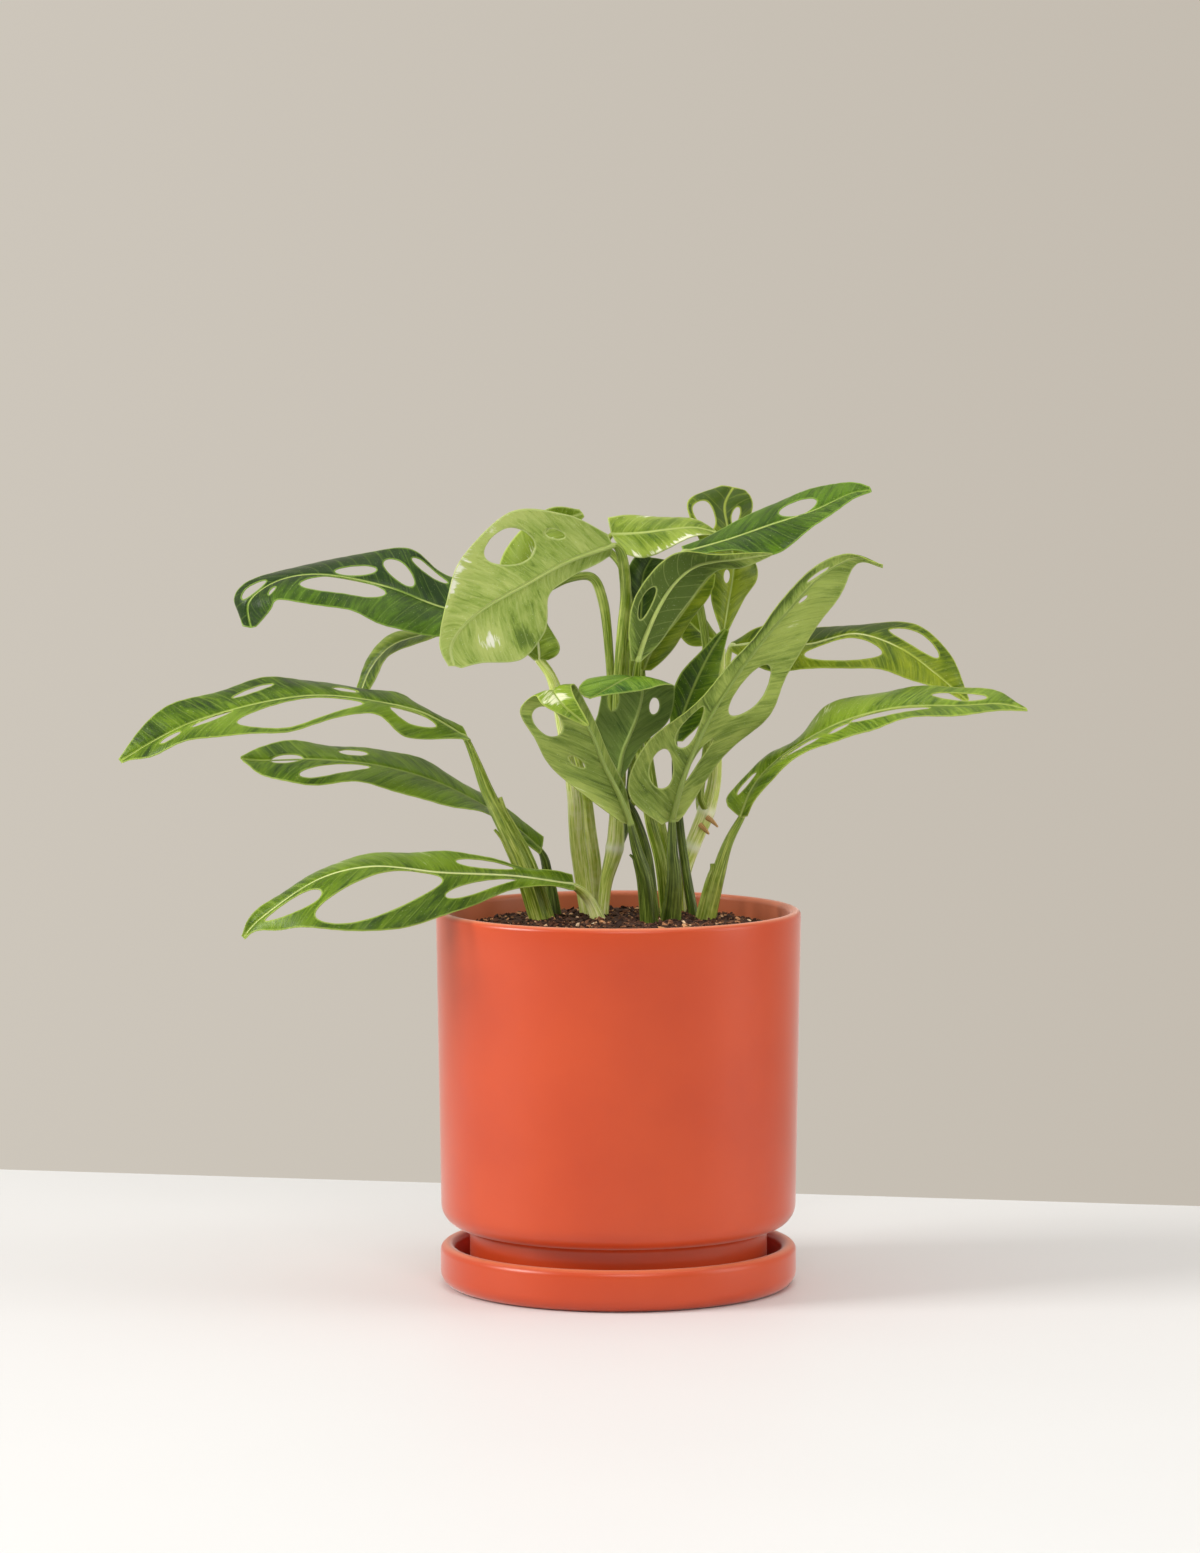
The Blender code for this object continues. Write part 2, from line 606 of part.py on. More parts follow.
def blade(name, rows, holes, surface):
    """A leaf blade: a thin sheet through its rows, with its holes cut out."""
    last = len(rows) - 1
    rails = [[place(*row[side]) for row in rows] for side in range(3)]

    def on_sheet(u, v):
        left, middle, right = (along(rail, u) for rail in rails)
        edge = right if v > 0 else left
        step = 1e-3
        ahead = along(rails[1], min(u + step, last)) - along(rails[1], max(u - step, 0))
        up = (right - left).cross(ahead).normalized()
        arch = 0.25 * (edge - middle).length * abs(v) * (1 - abs(v))
        return middle.lerp(edge, abs(v)) + up * arch

    def hole_line(u0, v0, u1, v1, width, grow=1.0):
        centre = Vector(((u0 + u1) / 2, (v0 + v1) / 2))
        half = Vector(((u1 - u0) / 2, (v1 - v0) / 2))
        turns = [math.tau * i / HOLE_POINTS for i in range(HOLE_POINTS)]
        return [centre + grow * (half * math.cos(a) + Vector((0, width / 2)) * math.sin(a)) for a in turns]

    def inside(point, u0, v0, u1, v1, width):
        centre = Vector(((u0 + u1) / 2, (v0 + v1) / 2))
        half_u = (u1 - u0) / 2
        offset = point - centre
        lengthwise = offset.x / half_u
        across = (offset.y - lengthwise * (v1 - v0) / 2) / (width / 2)
        return lengthwise**2 + across**2 < 1

    steps = last * ROW_STEPS
    margin = [Vector((last * i / steps, -1)) for i in range(steps + 1)]
    margin += [Vector((last, 0))]
    margin += [Vector((last * i / steps, 1)) for i in range(steps, -1, -1)]
    margin += [Vector((0, 0))]
    points = list(margin)
    edges = [(i, (i + 1) % len(margin)) for i in range(len(margin))]
    for hole in holes:
        first = len(points)
        points += hole_line(*hole)
        edges += [(first + i, first + (i + 1) % HOLE_POINTS) for i in range(HOLE_POINTS)]
    for i in range(1, steps):
        for v in (-0.5, 0, 0.5):
            spot = Vector((last * i / steps, v))
            if not any(inside(spot, h[0] - 0.1, h[1], h[2] + 0.1, h[3], h[4] + 0.15) for h in holes):
                points.append(spot)
    flat, _, faces = delaunay_2d_cdt(points, edges, [], 0, 1e-5)[:3]
    bm = bmesh.new()
    verts = [bm.verts.new(on_sheet(min(max(p.x, 0), last), min(max(p.y, -1), 1))) for p in flat]
    for face in faces:
        centre = sum((flat[i] for i in face), Vector((0, 0))) / len(face)
        if not any(inside(centre, *hole) for hole in holes):
            bm.faces.new([verts[i] for i in face])
    bmesh.ops.delete(bm, geom=[v for v in bm.verts if not v.link_faces], context="VERTS")
    made = add_object(name, bm, surface)
    thickness = made.modifiers.new("thickness", "SOLIDIFY")
    thickness.thickness = BLADE_THICKNESS
    thickness.offset = 0
    return made


def main():
    for old in list(bpy.data.objects):
        bpy.data.objects.remove(old)
    ceramic = material("matte coral glaze", (0.66, 0.13, 0.05), 0.55)
    mix = material("potting mix", (0.03, 0.016, 0.008), 0.95)
    green = material("leaf green", (0.15, 0.3, 0.05), 0.45)
    stalk_green = material("stalk green", (0.22, 0.36, 0.06), 0.4)
    bark = material("aerial root", (0.4, 0.2, 0.08), 0.8)
    make_saucer(ceramic)
    make_pot(ceramic)
    make_soil(mix)
    for name, points in STEMS.items():
        stalk("stem_" + name, stalk_route(points), STEM_SIDES, stalk_green, True)
    for name, points in ROOTS.items():
        stalk("aerial_root_" + name, root_route(points), PETIOLE_SIDES, bark, False)
    for name, leaf in LEAVES.items():
        blade("blade_" + name, leaf["rows"], leaf["holes"], green)
        if leaf["petiole"]:
            route = stalk_route(leaf["petiole"])
            joint = place(*leaf["rows"][0][1])
            tip, diameter = route[-1]
            reach = joint - tip
            end = joint - reach.normalized() * JOINT_GAP
            planted = leaf["petiole"][0][2] < 0
            stalk("petiole_" + name, route + [(end, 0.8 * diameter)], PETIOLE_SIDES, stalk_green, planted)


main()
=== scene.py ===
"""Looks of a variegated monstera in a matte coral ceramic pot on its saucer. Metres, +Z up."""

import math
import random

import bmesh
import bpy
import numpy as np
from mathutils import Euler, Matrix, Vector, noise
from mathutils.kdtree import KDTree


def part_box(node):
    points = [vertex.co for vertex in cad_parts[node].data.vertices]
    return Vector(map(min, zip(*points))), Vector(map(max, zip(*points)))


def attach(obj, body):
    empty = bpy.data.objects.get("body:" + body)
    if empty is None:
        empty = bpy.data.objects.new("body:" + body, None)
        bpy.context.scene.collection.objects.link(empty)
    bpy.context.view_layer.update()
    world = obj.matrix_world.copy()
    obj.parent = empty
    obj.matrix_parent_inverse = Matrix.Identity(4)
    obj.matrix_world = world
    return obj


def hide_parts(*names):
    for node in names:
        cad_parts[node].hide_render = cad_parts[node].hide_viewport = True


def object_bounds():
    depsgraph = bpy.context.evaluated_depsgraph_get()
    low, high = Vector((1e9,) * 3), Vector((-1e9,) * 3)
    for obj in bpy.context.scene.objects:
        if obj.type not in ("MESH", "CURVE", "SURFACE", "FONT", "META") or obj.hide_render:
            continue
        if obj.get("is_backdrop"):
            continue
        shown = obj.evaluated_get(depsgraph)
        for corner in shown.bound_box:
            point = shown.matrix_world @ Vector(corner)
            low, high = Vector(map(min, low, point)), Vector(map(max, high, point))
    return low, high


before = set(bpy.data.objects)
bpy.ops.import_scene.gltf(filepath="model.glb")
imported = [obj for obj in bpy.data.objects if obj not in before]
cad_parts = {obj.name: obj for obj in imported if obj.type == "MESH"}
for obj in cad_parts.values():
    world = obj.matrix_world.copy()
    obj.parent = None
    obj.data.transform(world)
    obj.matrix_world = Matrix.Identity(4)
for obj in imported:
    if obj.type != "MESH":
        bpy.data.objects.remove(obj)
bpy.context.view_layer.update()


# Saucer: a slip-cast stoneware tray with an upright rounded wall, dipped in the same matte coral glaze
# as the pot. Its foot ring is wiped clean, so it stands flat. It is turned here as one closed profile.
SAUCER_WALL = 0.0082
SAUCER_FLOOR = 0.006
# shares of a lighter glaze colour: a painted highlight along each lip's crest, and painted light inside the
# pot
FOOT_RING = 0.0012  # how far the middle of the underside stands clear of the table
LIP_HIGHLIGHT = 0.6
INSIDE_LIGHT = 0.5
LIP_CREST = 0.0009
CORNER_STEPS = 10
TURNS = 180


def linear(code):
    """An sRGB hex value as the linear colour that a shader takes."""
    parts = [int(code[i : i + 2], 16) / 255 for i in (1, 3, 5)]
    return [p / 12.92 if p <= 0.04045 else ((p + 0.055) / 1.055) ** 2.4 for p in parts] + [1.0]


def add(tree, kind, inputs=(), stops=(), **settings):
    """A node with its settings, its inputs set or linked, and a ramp's colours by place."""
    made = tree.nodes.new("ShaderNode" + kind)
    for name, value in settings.items():
        setattr(made, name, value)
    for name, value in dict(inputs).items():
        if isinstance(value, bpy.types.NodeSocket):
            tree.links.new(value, made.inputs[name])
        else:
            made.inputs[name].default_value = value
    for i, (place, colour) in enumerate(stops):
        stop = made.color_ramp.elements[i] if i < 2 else made.color_ramp.elements.new(place)
        stop.position = place
        stop.color = linear(colour)
    return made


def finish_named(name, **values):
    """A new Principled material. Returns it with its tree and its shader."""
    made = bpy.data.materials.new(name)
    made.use_nodes = True
    shader = made.node_tree.nodes["Principled BSDF"]
    for socket, value in values.items():
        shader.inputs[socket.replace("_", " ")].default_value = value
    return made, made.node_tree, shader


def matte_glaze():
    """Matte coral stoneware glaze: an even, chalky orange-red, with soft pooling and fine pin-point grain."""
    made, tree, shader = finish_named(
        "matte coral stoneware glaze", IOR=1.5, Sheen_Weight=0.55, Sheen_Roughness=0.28
    )
    place = add(tree, "TexCoord").outputs["Object"]
    pool = add(tree, "TexNoise", {"Vector": place, "Scale": 14, "Detail": 3, "Roughness": 0.5})
    tint = add(
        tree, "ValToRGB", {"Fac": pool.outputs["Fac"]}, stops=[(0.35, "#C4441B"), (0.65, "#CC4B1F")]
    )
    # pinholes and glaze grain about 0.7 mm across
    grain = add(tree, "TexNoise", {"Vector": place, "Scale": 1400, "Detail": 2, "Roughness": 0.6})
    speck = add(
        tree,
        "MapRange",
        {"Value": grain.outputs["Fac"], "From Min": 0.66, "From Max": 0.78, "To Min": 0, "To Max": 0.16},
    )
    coat = add(
        tree,
        "Mix",
        {0: speck.outputs["Result"], 6: tint.outputs["Color"], 7: linear("#A63C1E")},
        data_type="RGBA",
    )
    # a lighter glaze colour is mixed in: a painted highlight along the lips, and painted light on the inside
    # of the pot
    painted_light = add(tree, "Attribute", attribute_name="painted_light").outputs["Fac"]
    painted_lit_coat = add(tree, "Mix", {0: painted_light, 6: coat.outputs[2], 7: linear("#F09A72")}, data_type="RGBA")
    rough = add(
        tree,
        "MapRange",
        {"Value": pool.outputs["Fac"], "From Min": 0.3, "From Max": 0.7, "To Min": 0.30, "To Max": 0.36},
    )
    bump = add(tree, "Bump", {"Height": grain.outputs["Fac"], "Strength": 0.12, "Distance": 0.0002})
    tree.links.new(painted_lit_coat.outputs[2], shader.inputs["Base Color"])
    tree.links.new(rough.outputs["Result"], shader.inputs["Roughness"])
    tree.links.new(bump.outputs["Normal"], shader.inputs["Normal"])
    return made


def corner(centre_r, centre_z, radius, start, end):
    """Points of a profile's rounded corner, between two angles in degrees."""
    angles = [math.radians(start + (end - start) * i / CORNER_STEPS) for i in range(CORNER_STEPS + 1)]
    return [(centre_r + radius * math.cos(a), centre_z + radius * math.sin(a)) for a in angles]


def straight(start, end, steps):
    """Points from one profile corner to the next, both left out."""
    return [
        (start[0] + (end[0] - start[0]) * i / steps, start[1] + (end[1] - start[1]) * i / steps)
        for i in range(1, steps)
    ]


def with_painted_light(bm, lip_height, inside_radius=0.0):
    """The turned bmesh with a mark of painted light: most as a painted highlight along the crest of its lip,
    and also as painted light on the inside of the upper wall."""
    painted_light = bm.verts.layers.float.new("painted_light")
    for vert in bm.verts:
        crest = LIP_HIGHLIGHT * math.exp(-(((lip_height - vert.co.z) / LIP_CREST) ** 2))
        inside = vert.co.xy.length < inside_radius and vert.co.z > lip_height / 2
        vert[painted_light] = max(crest, INSIDE_LIGHT if inside else 0.0)
    return bm


def turned(profile):
    """A bmesh of a closed (radius, height) profile turned once round the pot's axis."""
    bm = bmesh.new()
    points = [bm.verts.new((r, 0, z)) for r, z in profile]
    edges = [bm.edges.new(pair) for pair in zip(points, points[1:] + points[:1])]
    bmesh.ops.spin(
        bm,
        geom=points + edges,
        cent=(0, 0, 0),
        axis=(0, 0, 1),
        angle=math.tau,
        steps=TURNS,
        use_merge=True,
    )
    bmesh.ops.remove_doubles(bm, verts=bm.verts, dist=1e-6)
    bmesh.ops.dissolve_degenerate(bm, edges=bm.edges, dist=1e-6)
    bmesh.ops.recalc_face_normals(bm, faces=bm.faces)
    return bm


def piece(name, bm, surfaces, slot, *nodes, sharp=50):
    """The finished mesh as a piece that rides on the root body and stands for its CAD node."""
    mesh = bpy.data.meshes.new(name)
    bm.to_mesh(mesh)
    bm.free()
    for surface in surfaces:
        mesh.materials.append(surface)
    mesh.shade_smooth()
    mesh.set_sharp_from_angle(angle=math.radians(sharp))
    made = bpy.data.objects.new(name, mesh)
    bpy.context.scene.collection.objects.link(made)
    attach(made, "root")
    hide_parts(*nodes)
    return made


glaze = matte_glaze()
_, saucer_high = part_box("saucer")
outer = saucer_high.x
inner = outer - SAUCER_WALL
lip = SAUCER_WALL / 2
top = saucer_high.z
saucer_profile = [
    (0, SAUCER_FLOOR),
    (0, FOOT_RING),
    (outer - 0.022, FOOT_RING),
    (outer - 0.0205, 0),
    (outer - 0.009, 0),
    *corner(outer - 0.0085, 0.0085, 0.0085, -90, 0),
    *corner(outer - lip, top - lip, lip, 0, 180),
    *corner(inner - 0.005, SAUCER_FLOOR + 0.005, 0.005, 0, -90),
]
piece("saucer", with_painted_light(turned(saucer_profile), top), [glaze], "pot_ceramic", "saucer")


# Pot: a slip-cast stoneware cylinder with a rounded lip, a rounded lower corner and a narrower foot that
# sits in the saucer. One firing of matte coral glaze covers it inside and out.
POT_WALL = 0.006
POT_CORNER = 0.013
POT_TAPER = 0.0025
FOOT_INSET = 0.016
FOOT_HEIGHT = 0.027
FOOT_WALL = 0.006
DRAIN_RADIUS = 0.010

pot_low, pot_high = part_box("pot")
rim = pot_high.z
body = pot_high.x
low_body = body - POT_TAPER
foot = low_body - FOOT_INSET
stands = pot_low.z
under = stands + FOOT_HEIGHT
lip = POT_WALL / 2
pot_profile = [
    (DRAIN_RADIUS, stands + 0.003),
    (foot - 0.012, stands + 0.003),
    (foot - 0.008, stands),
    (foot - 0.003, stands),
    *corner(foot - 0.003, stands + 0.003, 0.003, -80, 0),
    *straight((foot, stands + 0.003), (foot, under), 4),
    *corner(foot + 0.003, under - 0.003, 0.003, 180, 90),
    *corner(low_body - POT_CORNER, under + POT_CORNER, POT_CORNER, -90, 0),
    *straight((low_body, under + POT_CORNER), (body, rim - lip), 12),
    *corner(body - lip, rim - lip, lip, 0, 180),
    *straight((body - POT_WALL, rim - lip), (low_body - POT_WALL, under + POT_CORNER), 6),
    (low_body - POT_WALL, under + POT_CORNER),
    (foot, under + POT_WALL),
    (foot - FOOT_WALL, under),
    (foot - FOOT_WALL, stands + 0.009),
    (DRAIN_RADIUS, stands + 0.009),
]
coated = with_painted_light(turned(pot_profile), rim, inside_radius=body - 0.7 * POT_WALL)
piece("pot", coated, [glaze], "pot_ceramic", "pot")


# Potting mix: moist composted bark, peat and a little grit, pressed in by hand round the stems. Its top
# is lumpy, and loose chips lie on it. It is one turned body with the chips bedded into its surface.
SOIL_BELOW_RIM = 0.012
SOIL_MOUND = 0.005
PLANTED = 0.062
SOIL_GAP = 0.0006
SOIL_RINGS = 44
CHIP_TRAYS = 60
TRAY_CHIPS = 60
BIG_CHIPS = 0.08

shuffle = random.Random(7)


def soil_height(radius):
    """Height of the level soil at a distance from the axis."""
    share = min(max((radius - PLANTED) / (body - POT_WALL - PLANTED), 0), 1)
    return rim - SOIL_BELOW_RIM + SOIL_MOUND * (1 + math.cos(math.pi * share)) / 2


def lump(x, y):
    """How far the pressed surface stands above or below its level."""
    coarse = noise.fractal(Vector((x, y, 0)) * 90, 1.0, 2.0, 3)
    fine = noise.noise(Vector((x, y, 3)) * 420)
    return 0.0016 * coarse + 0.0008 * fine


def pour(bm, into):
    """Adds one bmesh to another, and frees it."""
    spare = bpy.data.meshes.new("poured")
    bm.to_mesh(spare)
    bm.free()
    into.from_mesh(spare)
    bpy.data.meshes.remove(spare)


def bark_mix():
    """Composted bark and peat: near black when moist, with ginger and straw-coloured chips between."""
    made, tree, shader = finish_named("composted bark mix", Roughness=0.92, IOR=1.4)
    chip = add(tree, "Attribute", attribute_name="chip").outputs["Fac"]
    colour = add(
        tree,
        "ValToRGB",
        {"Fac": chip},
        stops=[
            (0.0, "#34211A"),
            (1.0, "#F8DDBA"),
            (0.35, "#56382A"),
            (0.6, "#80543C"),
            (0.8, "#BC845C"),
            (0.92, "#E4AA78"),
        ],
    )
    place = add(tree, "TexCoord").outputs["Object"]
    # fibres and grit of about 1 mm
    fibre = add(tree, "TexNoise", {"Vector": place, "Scale": 900, "Detail": 4, "Roughness": 0.7})
    shade = add(
        tree,
        "MapRange",
        {"Value": fibre.outputs["Fac"], "From Min": 0.3, "From Max": 0.7, "To Min": 0.55, "To Max": 1.25},
    )
    mottled = add(
        tree, "VectorMath", {0: colour.outputs["Color"], "Scale": shade.outputs["Result"]}, operation="SCALE"
    )
    bump = add(tree, "Bump", {"Height": fibre.outputs["Fac"], "Strength": 0.6, "Distance": 0.0006})
    tree.links.new(mottled.outputs[0], shader.inputs["Base Color"])
    tree.links.new(bump.outputs["Normal"], shader.inputs["Normal"])
    return made


edge = body - POT_WALL - 2 * SOIL_GAP
low_edge = low_body - POT_WALL - SOIL_GAP
soil_rings = [edge * (1 - i / SOIL_RINGS) for i in range(SOIL_RINGS)]
soil = turned(
    [
        (0, soil_height(0)),
        (0, stands + 0.0093),
        (foot - FOOT_WALL - SOIL_GAP, stands + 0.0093),
        (foot - FOOT_WALL - SOIL_GAP, under + SOIL_GAP),
        (foot - SOIL_GAP, under + POT_WALL + SOIL_GAP),
        (low_edge, under + POT_CORNER + SOIL_GAP),
        *[(radius, soil_height(radius)) for radius in soil_rings],
    ]
)
chip_tone = soil.verts.layers.float.new("chip")
for vert in soil.verts:
    if vert.co.z > rim - 0.02:
        rough_ground = 0.5 + 0.5 * noise.noise(vert.co * 260)
        vert[chip_tone] = 0.5 * rough_ground
        vert.co.z += lump(vert.co.x, vert.co.y) * (1 if vert.co.xy.length < edge - 0.001 else 0.4)
# chips are laid a trayful at a time, because a bmesh operator slows down as its mesh grows
for _ in range(CHIP_TRAYS):
    tray = bmesh.new()
    tray_tone = tray.verts.layers.float.new("chip")
    for _ in range(TRAY_CHIPS):
        radius = (edge - 0.003) * math.sqrt(shuffle.random())
        turn = shuffle.uniform(0, math.tau)
        x, y = radius * math.cos(turn), radius * math.sin(turn)
        length = shuffle.uniform(0.0007, 0.0016) * (1.8 if shuffle.random() < BIG_CHIPS else 1)
        sizes = Vector((length, length * shuffle.uniform(0.35, 0.8), length * shuffle.uniform(0.2, 0.5)))
        height = soil_height(radius) + lump(x, y) + sizes.z * shuffle.uniform(0.1, 0.9)
        leans = shuffle.uniform(-0.6, 0.6), shuffle.uniform(-0.6, 0.6)
        tilt = Euler((*leans, shuffle.uniform(0, math.tau)))
        seat = Matrix.LocRotScale(Vector((x, y, height)), tilt, sizes)
        grown = bmesh.ops.create_icosphere(tray, subdivisions=1, radius=1, matrix=seat)["verts"]
        tone = shuffle.random() ** 1.8
        for vert in grown:
            vert.co += Vector([shuffle.uniform(-0.25, 0.25) * length for _ in range(3)])
            vert[tray_tone] = tone
    pour(tray, soil)
piece("soil", soil, [bark_mix()], "potting_mix", "soil", sharp=35)


# Stems: the climbing shoots, fleshy and ribbed, with a pale ring at each node where a leaf broke away.
# They root in the mix. Route points are (x, y, z, diameter) in millimetres from the pot's axis and rim.
STEMS = {
    "left": [(-9, 30, -6, 6), (-7, 31, 11, 7), (-2, 32, 31, 9.5), (-1, 31, 50, 8), (0, 30, 64, 7)],
    "right": [
        (37, 50, -7, 9),
        (36, 50, 11, 9),
        (41, 50, 28, 8.5),
        (49, 50, 48, 9.5),
        (54, 48, 66, 7.5),
        (55, 48, 91, 7),
        (56, 48, 119, 7.5),
        (57, 47, 142, 6.5),
    ],
}
# A node ring is (place counted along the route's points, how far it swells and pales).
NODE_RINGS = {"left": [(2.0, 0.9)], "right": [(2.1, 0.8), (3.15, 0.8), (5.9, 0.5)]}
NODE_REACH = 0.13
NODE_SWELL = 0.11
STALK_SIDES = 28
STALK_STEP = 0.0016
RIBS = 9
RIB_DEPTH = 0.055
WOBBLE = 0.03
MIDRIB_PALENESS = 0.6
BURIED = 0.004
MM = 0.001


def place(x, y, z):
    """A route point of the plant, from millimetres to its place over the pot's rim."""
    return Vector((x * MM, y * MM, rim + z * MM))


def along(points, at):
    """The point of a smooth curve through the given ones, counted from 0 at the first."""
    last = len(points) - 1
    index = min(int(at), last - 1)
    t = at - index
    a = points[max(index - 1, 0)]
    b = points[index]
    c = points[index + 1]
    d = points[min(index + 2, last)]
    return 0.5 * (
        2 * b + (c - a) * t + (2 * a - 5 * b + 4 * c - d) * t**2 + (3 * b - a - 3 * c + d) * t**3
    )


def stalk_skin(name, deep, mid, pale, node, streak):
    """Living stalk skin: waxy, ribbed lengthwise, streaked paler along the ribs and mottled. The node
    colour is that of its node rings, and of the midrib that it runs on as."""
    made, tree, shader = finish_named(name, Roughness=0.33, IOR=1.45, Subsurface_Weight=0.12)
    shader.inputs["Subsurface Radius"].default_value = (0.6, 1.0, 0.25)
    shader.inputs["Subsurface Scale"].default_value = 0.002
    grain = add(tree, "Attribute", attribute_name="grain").outputs["Vector"]
    # fibres: about 1 mm wide round the stalk and 30 mm long
    fibre = add(tree, "TexNoise", {"Vector": grain, "Scale": 2.2, "Detail": 4, "Roughness": 0.65})
    place_node = add(tree, "TexCoord").outputs["Object"]
    cloud = add(tree, "TexNoise", {"Vector": place_node, "Scale": 55, "Detail": 3, "Roughness": 0.6})
    green = add(
        tree, "ValToRGB", {"Fac": fibre.outputs["Fac"]}, stops=[(0.34, deep), (0.66, pale), (0.5, mid)]
    )
    patch = add(
        tree,
        "MapRange",
        {"Value": cloud.outputs["Fac"], "From Min": 0.52, "From Max": 0.68, "To Min": 0, "To Max": streak},
    )
    skin = add(
        tree,
        "Mix",
        {0: patch.outputs["Result"], 6: green.outputs["Color"], 7: linear(pale)},
        data_type="RGBA",
    )
    ring = add(tree, "Attribute", attribute_name="ring").outputs["Fac"]
    ringed = add(tree, "Mix", {0: ring, 6: skin.outputs[2], 7: linear(node)}, data_type="RGBA")
    bump = add(tree, "Bump", {"Height": fibre.outputs["Fac"], "Strength": 0.5, "Distance": 0.0006})
    tree.links.new(ringed.outputs[2], shader.inputs["Base Color"])
    tree.links.new(bump.outputs["Normal"], shader.inputs["Normal"])
    return made


def stalk(route, ribs=RIBS, rings=(), turn=0.0, joint=None):
    """A bmesh of a ribbed stalk through (centre, diameter) points, its rings carried along untwisted.
    From the joint on, where it runs under a blade as the midrib, it is paler."""
    bm = bmesh.new()
    grain = bm.verts.layers.float_vector.new("grain")
    ringed = bm.verts.layers.float.new("ring")
    centres = [centre for centre, diameter in route]
    widths = [Vector((diameter, 0, 0)) for centre, diameter in route]
    last = len(route) - 1
    length = sum((b - a).length for a, b in zip(centres, centres[1:]))
    steps = max(8, round(length / STALK_STEP))
    side = Vector((1, 0, 0))
    before = None
    travelled = 0.0
    spot = centres[0]
    for i in range(steps + 1):
        at = last * i / steps
        centre = along(centres, at)
        diameter = max(along(widths, at).x, 0.0004)
        ahead = (along(centres, min(at + 0.02, last)) - along(centres, max(at - 0.02, 0))).normalized()
        side = (side - ahead * side.dot(ahead)).normalized()
        swell = 0.0
        for where, size in rings:
            swell += size * math.exp(-(((at - where) / NODE_REACH) ** 2))
        travelled += (centre - spot).length
        spot = centre
        seat = Matrix.Translation(centre) @ Matrix((side, ahead.cross(side), ahead)).transposed().to_4x4()
        ring = bmesh.ops.create_circle(
            bm, cap_ends=False, radius=diameter / 2, segments=STALK_SIDES, matrix=seat
        )["verts"]
        for j, vert in enumerate(ring):
            angle = math.tau * j / STALK_SIDES
            wobble = WOBBLE * noise.noise(centre * 90 + Vector((angle, 0, 0)))
            rib = 1 + RIB_DEPTH * math.cos(ribs * angle + turn) + wobble
            vert.co = centre + (vert.co - centre) * (rib + NODE_SWELL * swell)
            vert[grain] = Vector((math.cos(angle) * 2, math.sin(angle) * 2, travelled * 22 + turn))
            vert[ringed] = min(swell, 1.0) if joint is None or at < joint else MIDRIB_PALENESS
        edges = list({edge for vert in ring for edge in vert.link_edges})
        if before is None:
            bmesh.ops.contextual_create(bm, geom=edges)
        else:
            bmesh.ops.bridge_loops(bm, edges=before + edges)
        before = edges
    bmesh.ops.contextual_create(bm, geom=before)
    bmesh.ops.recalc_face_normals(bm, faces=bm.faces)
    return bm


def standing(points):
    """Route points in millimetres as (centre, diameter). A stalk that reaches the soil goes into it."""
    route = [(place(x, y, z), diameter * MM) for x, y, z, diameter in points]
    if points[0][2] < 0:
        start, diameter = route[0]
        start.z = soil_height(start.xy.length) - BURIED
    return route


stem_skin = stalk_skin("ribbed green stem", "#8EAA34", "#CAD868", "#F0F4BA", "#F2F6DA", 0.6)
for name, points in STEMS.items():
    grown = stalk(standing(points), rings=NODE_RINGS[name])
    piece("stem_" + name, grown, [stem_skin], "stalk", "stem_" + name)


# Aerial roots: two short, blunt, corky tan roots that push out of the right stem's lower node.
ROOTS = {
    "upper": [(50, 44, 47, 3), (53, 42, 45, 2.4), (56, 40, 42, 1)],
    "lower": [(46, 44, 43, 3), (49, 42, 40, 2.4), (51, 40, 38, 1)],
}


def cork():
    """Dry corky root: dull tan with darker lengthwise cracks."""
    made, tree, shader = finish_named("corky aerial root", Roughness=0.85, IOR=1.4)
    grain = add(tree, "Attribute", attribute_name="grain").outputs["Vector"]
    crack = add(tree, "TexNoise", {"Vector": grain, "Scale": 3, "Detail": 4, "Roughness": 0.7})
    tan = add(
        tree, "ValToRGB", {"Fac": crack.outputs["Fac"]}, stops=[(0.32, "#8A6238"), (0.6, "#DDB074")]
    )
    bump = add(tree, "Bump", {"Height": crack.outputs["Fac"], "Strength": 0.5, "Distance": 0.0004})
    tree.links.new(tan.outputs["Color"], shader.inputs["Base Color"])
    tree.links.new(bump.outputs["Normal"], shader.inputs["Normal"])
    return made


root_skin = cork()
for name, points in ROOTS.items():
    name = "aerial_root_" + name
    piece(name, stalk(standing(points), ribs=5), [root_skin], "aerial_root", name)


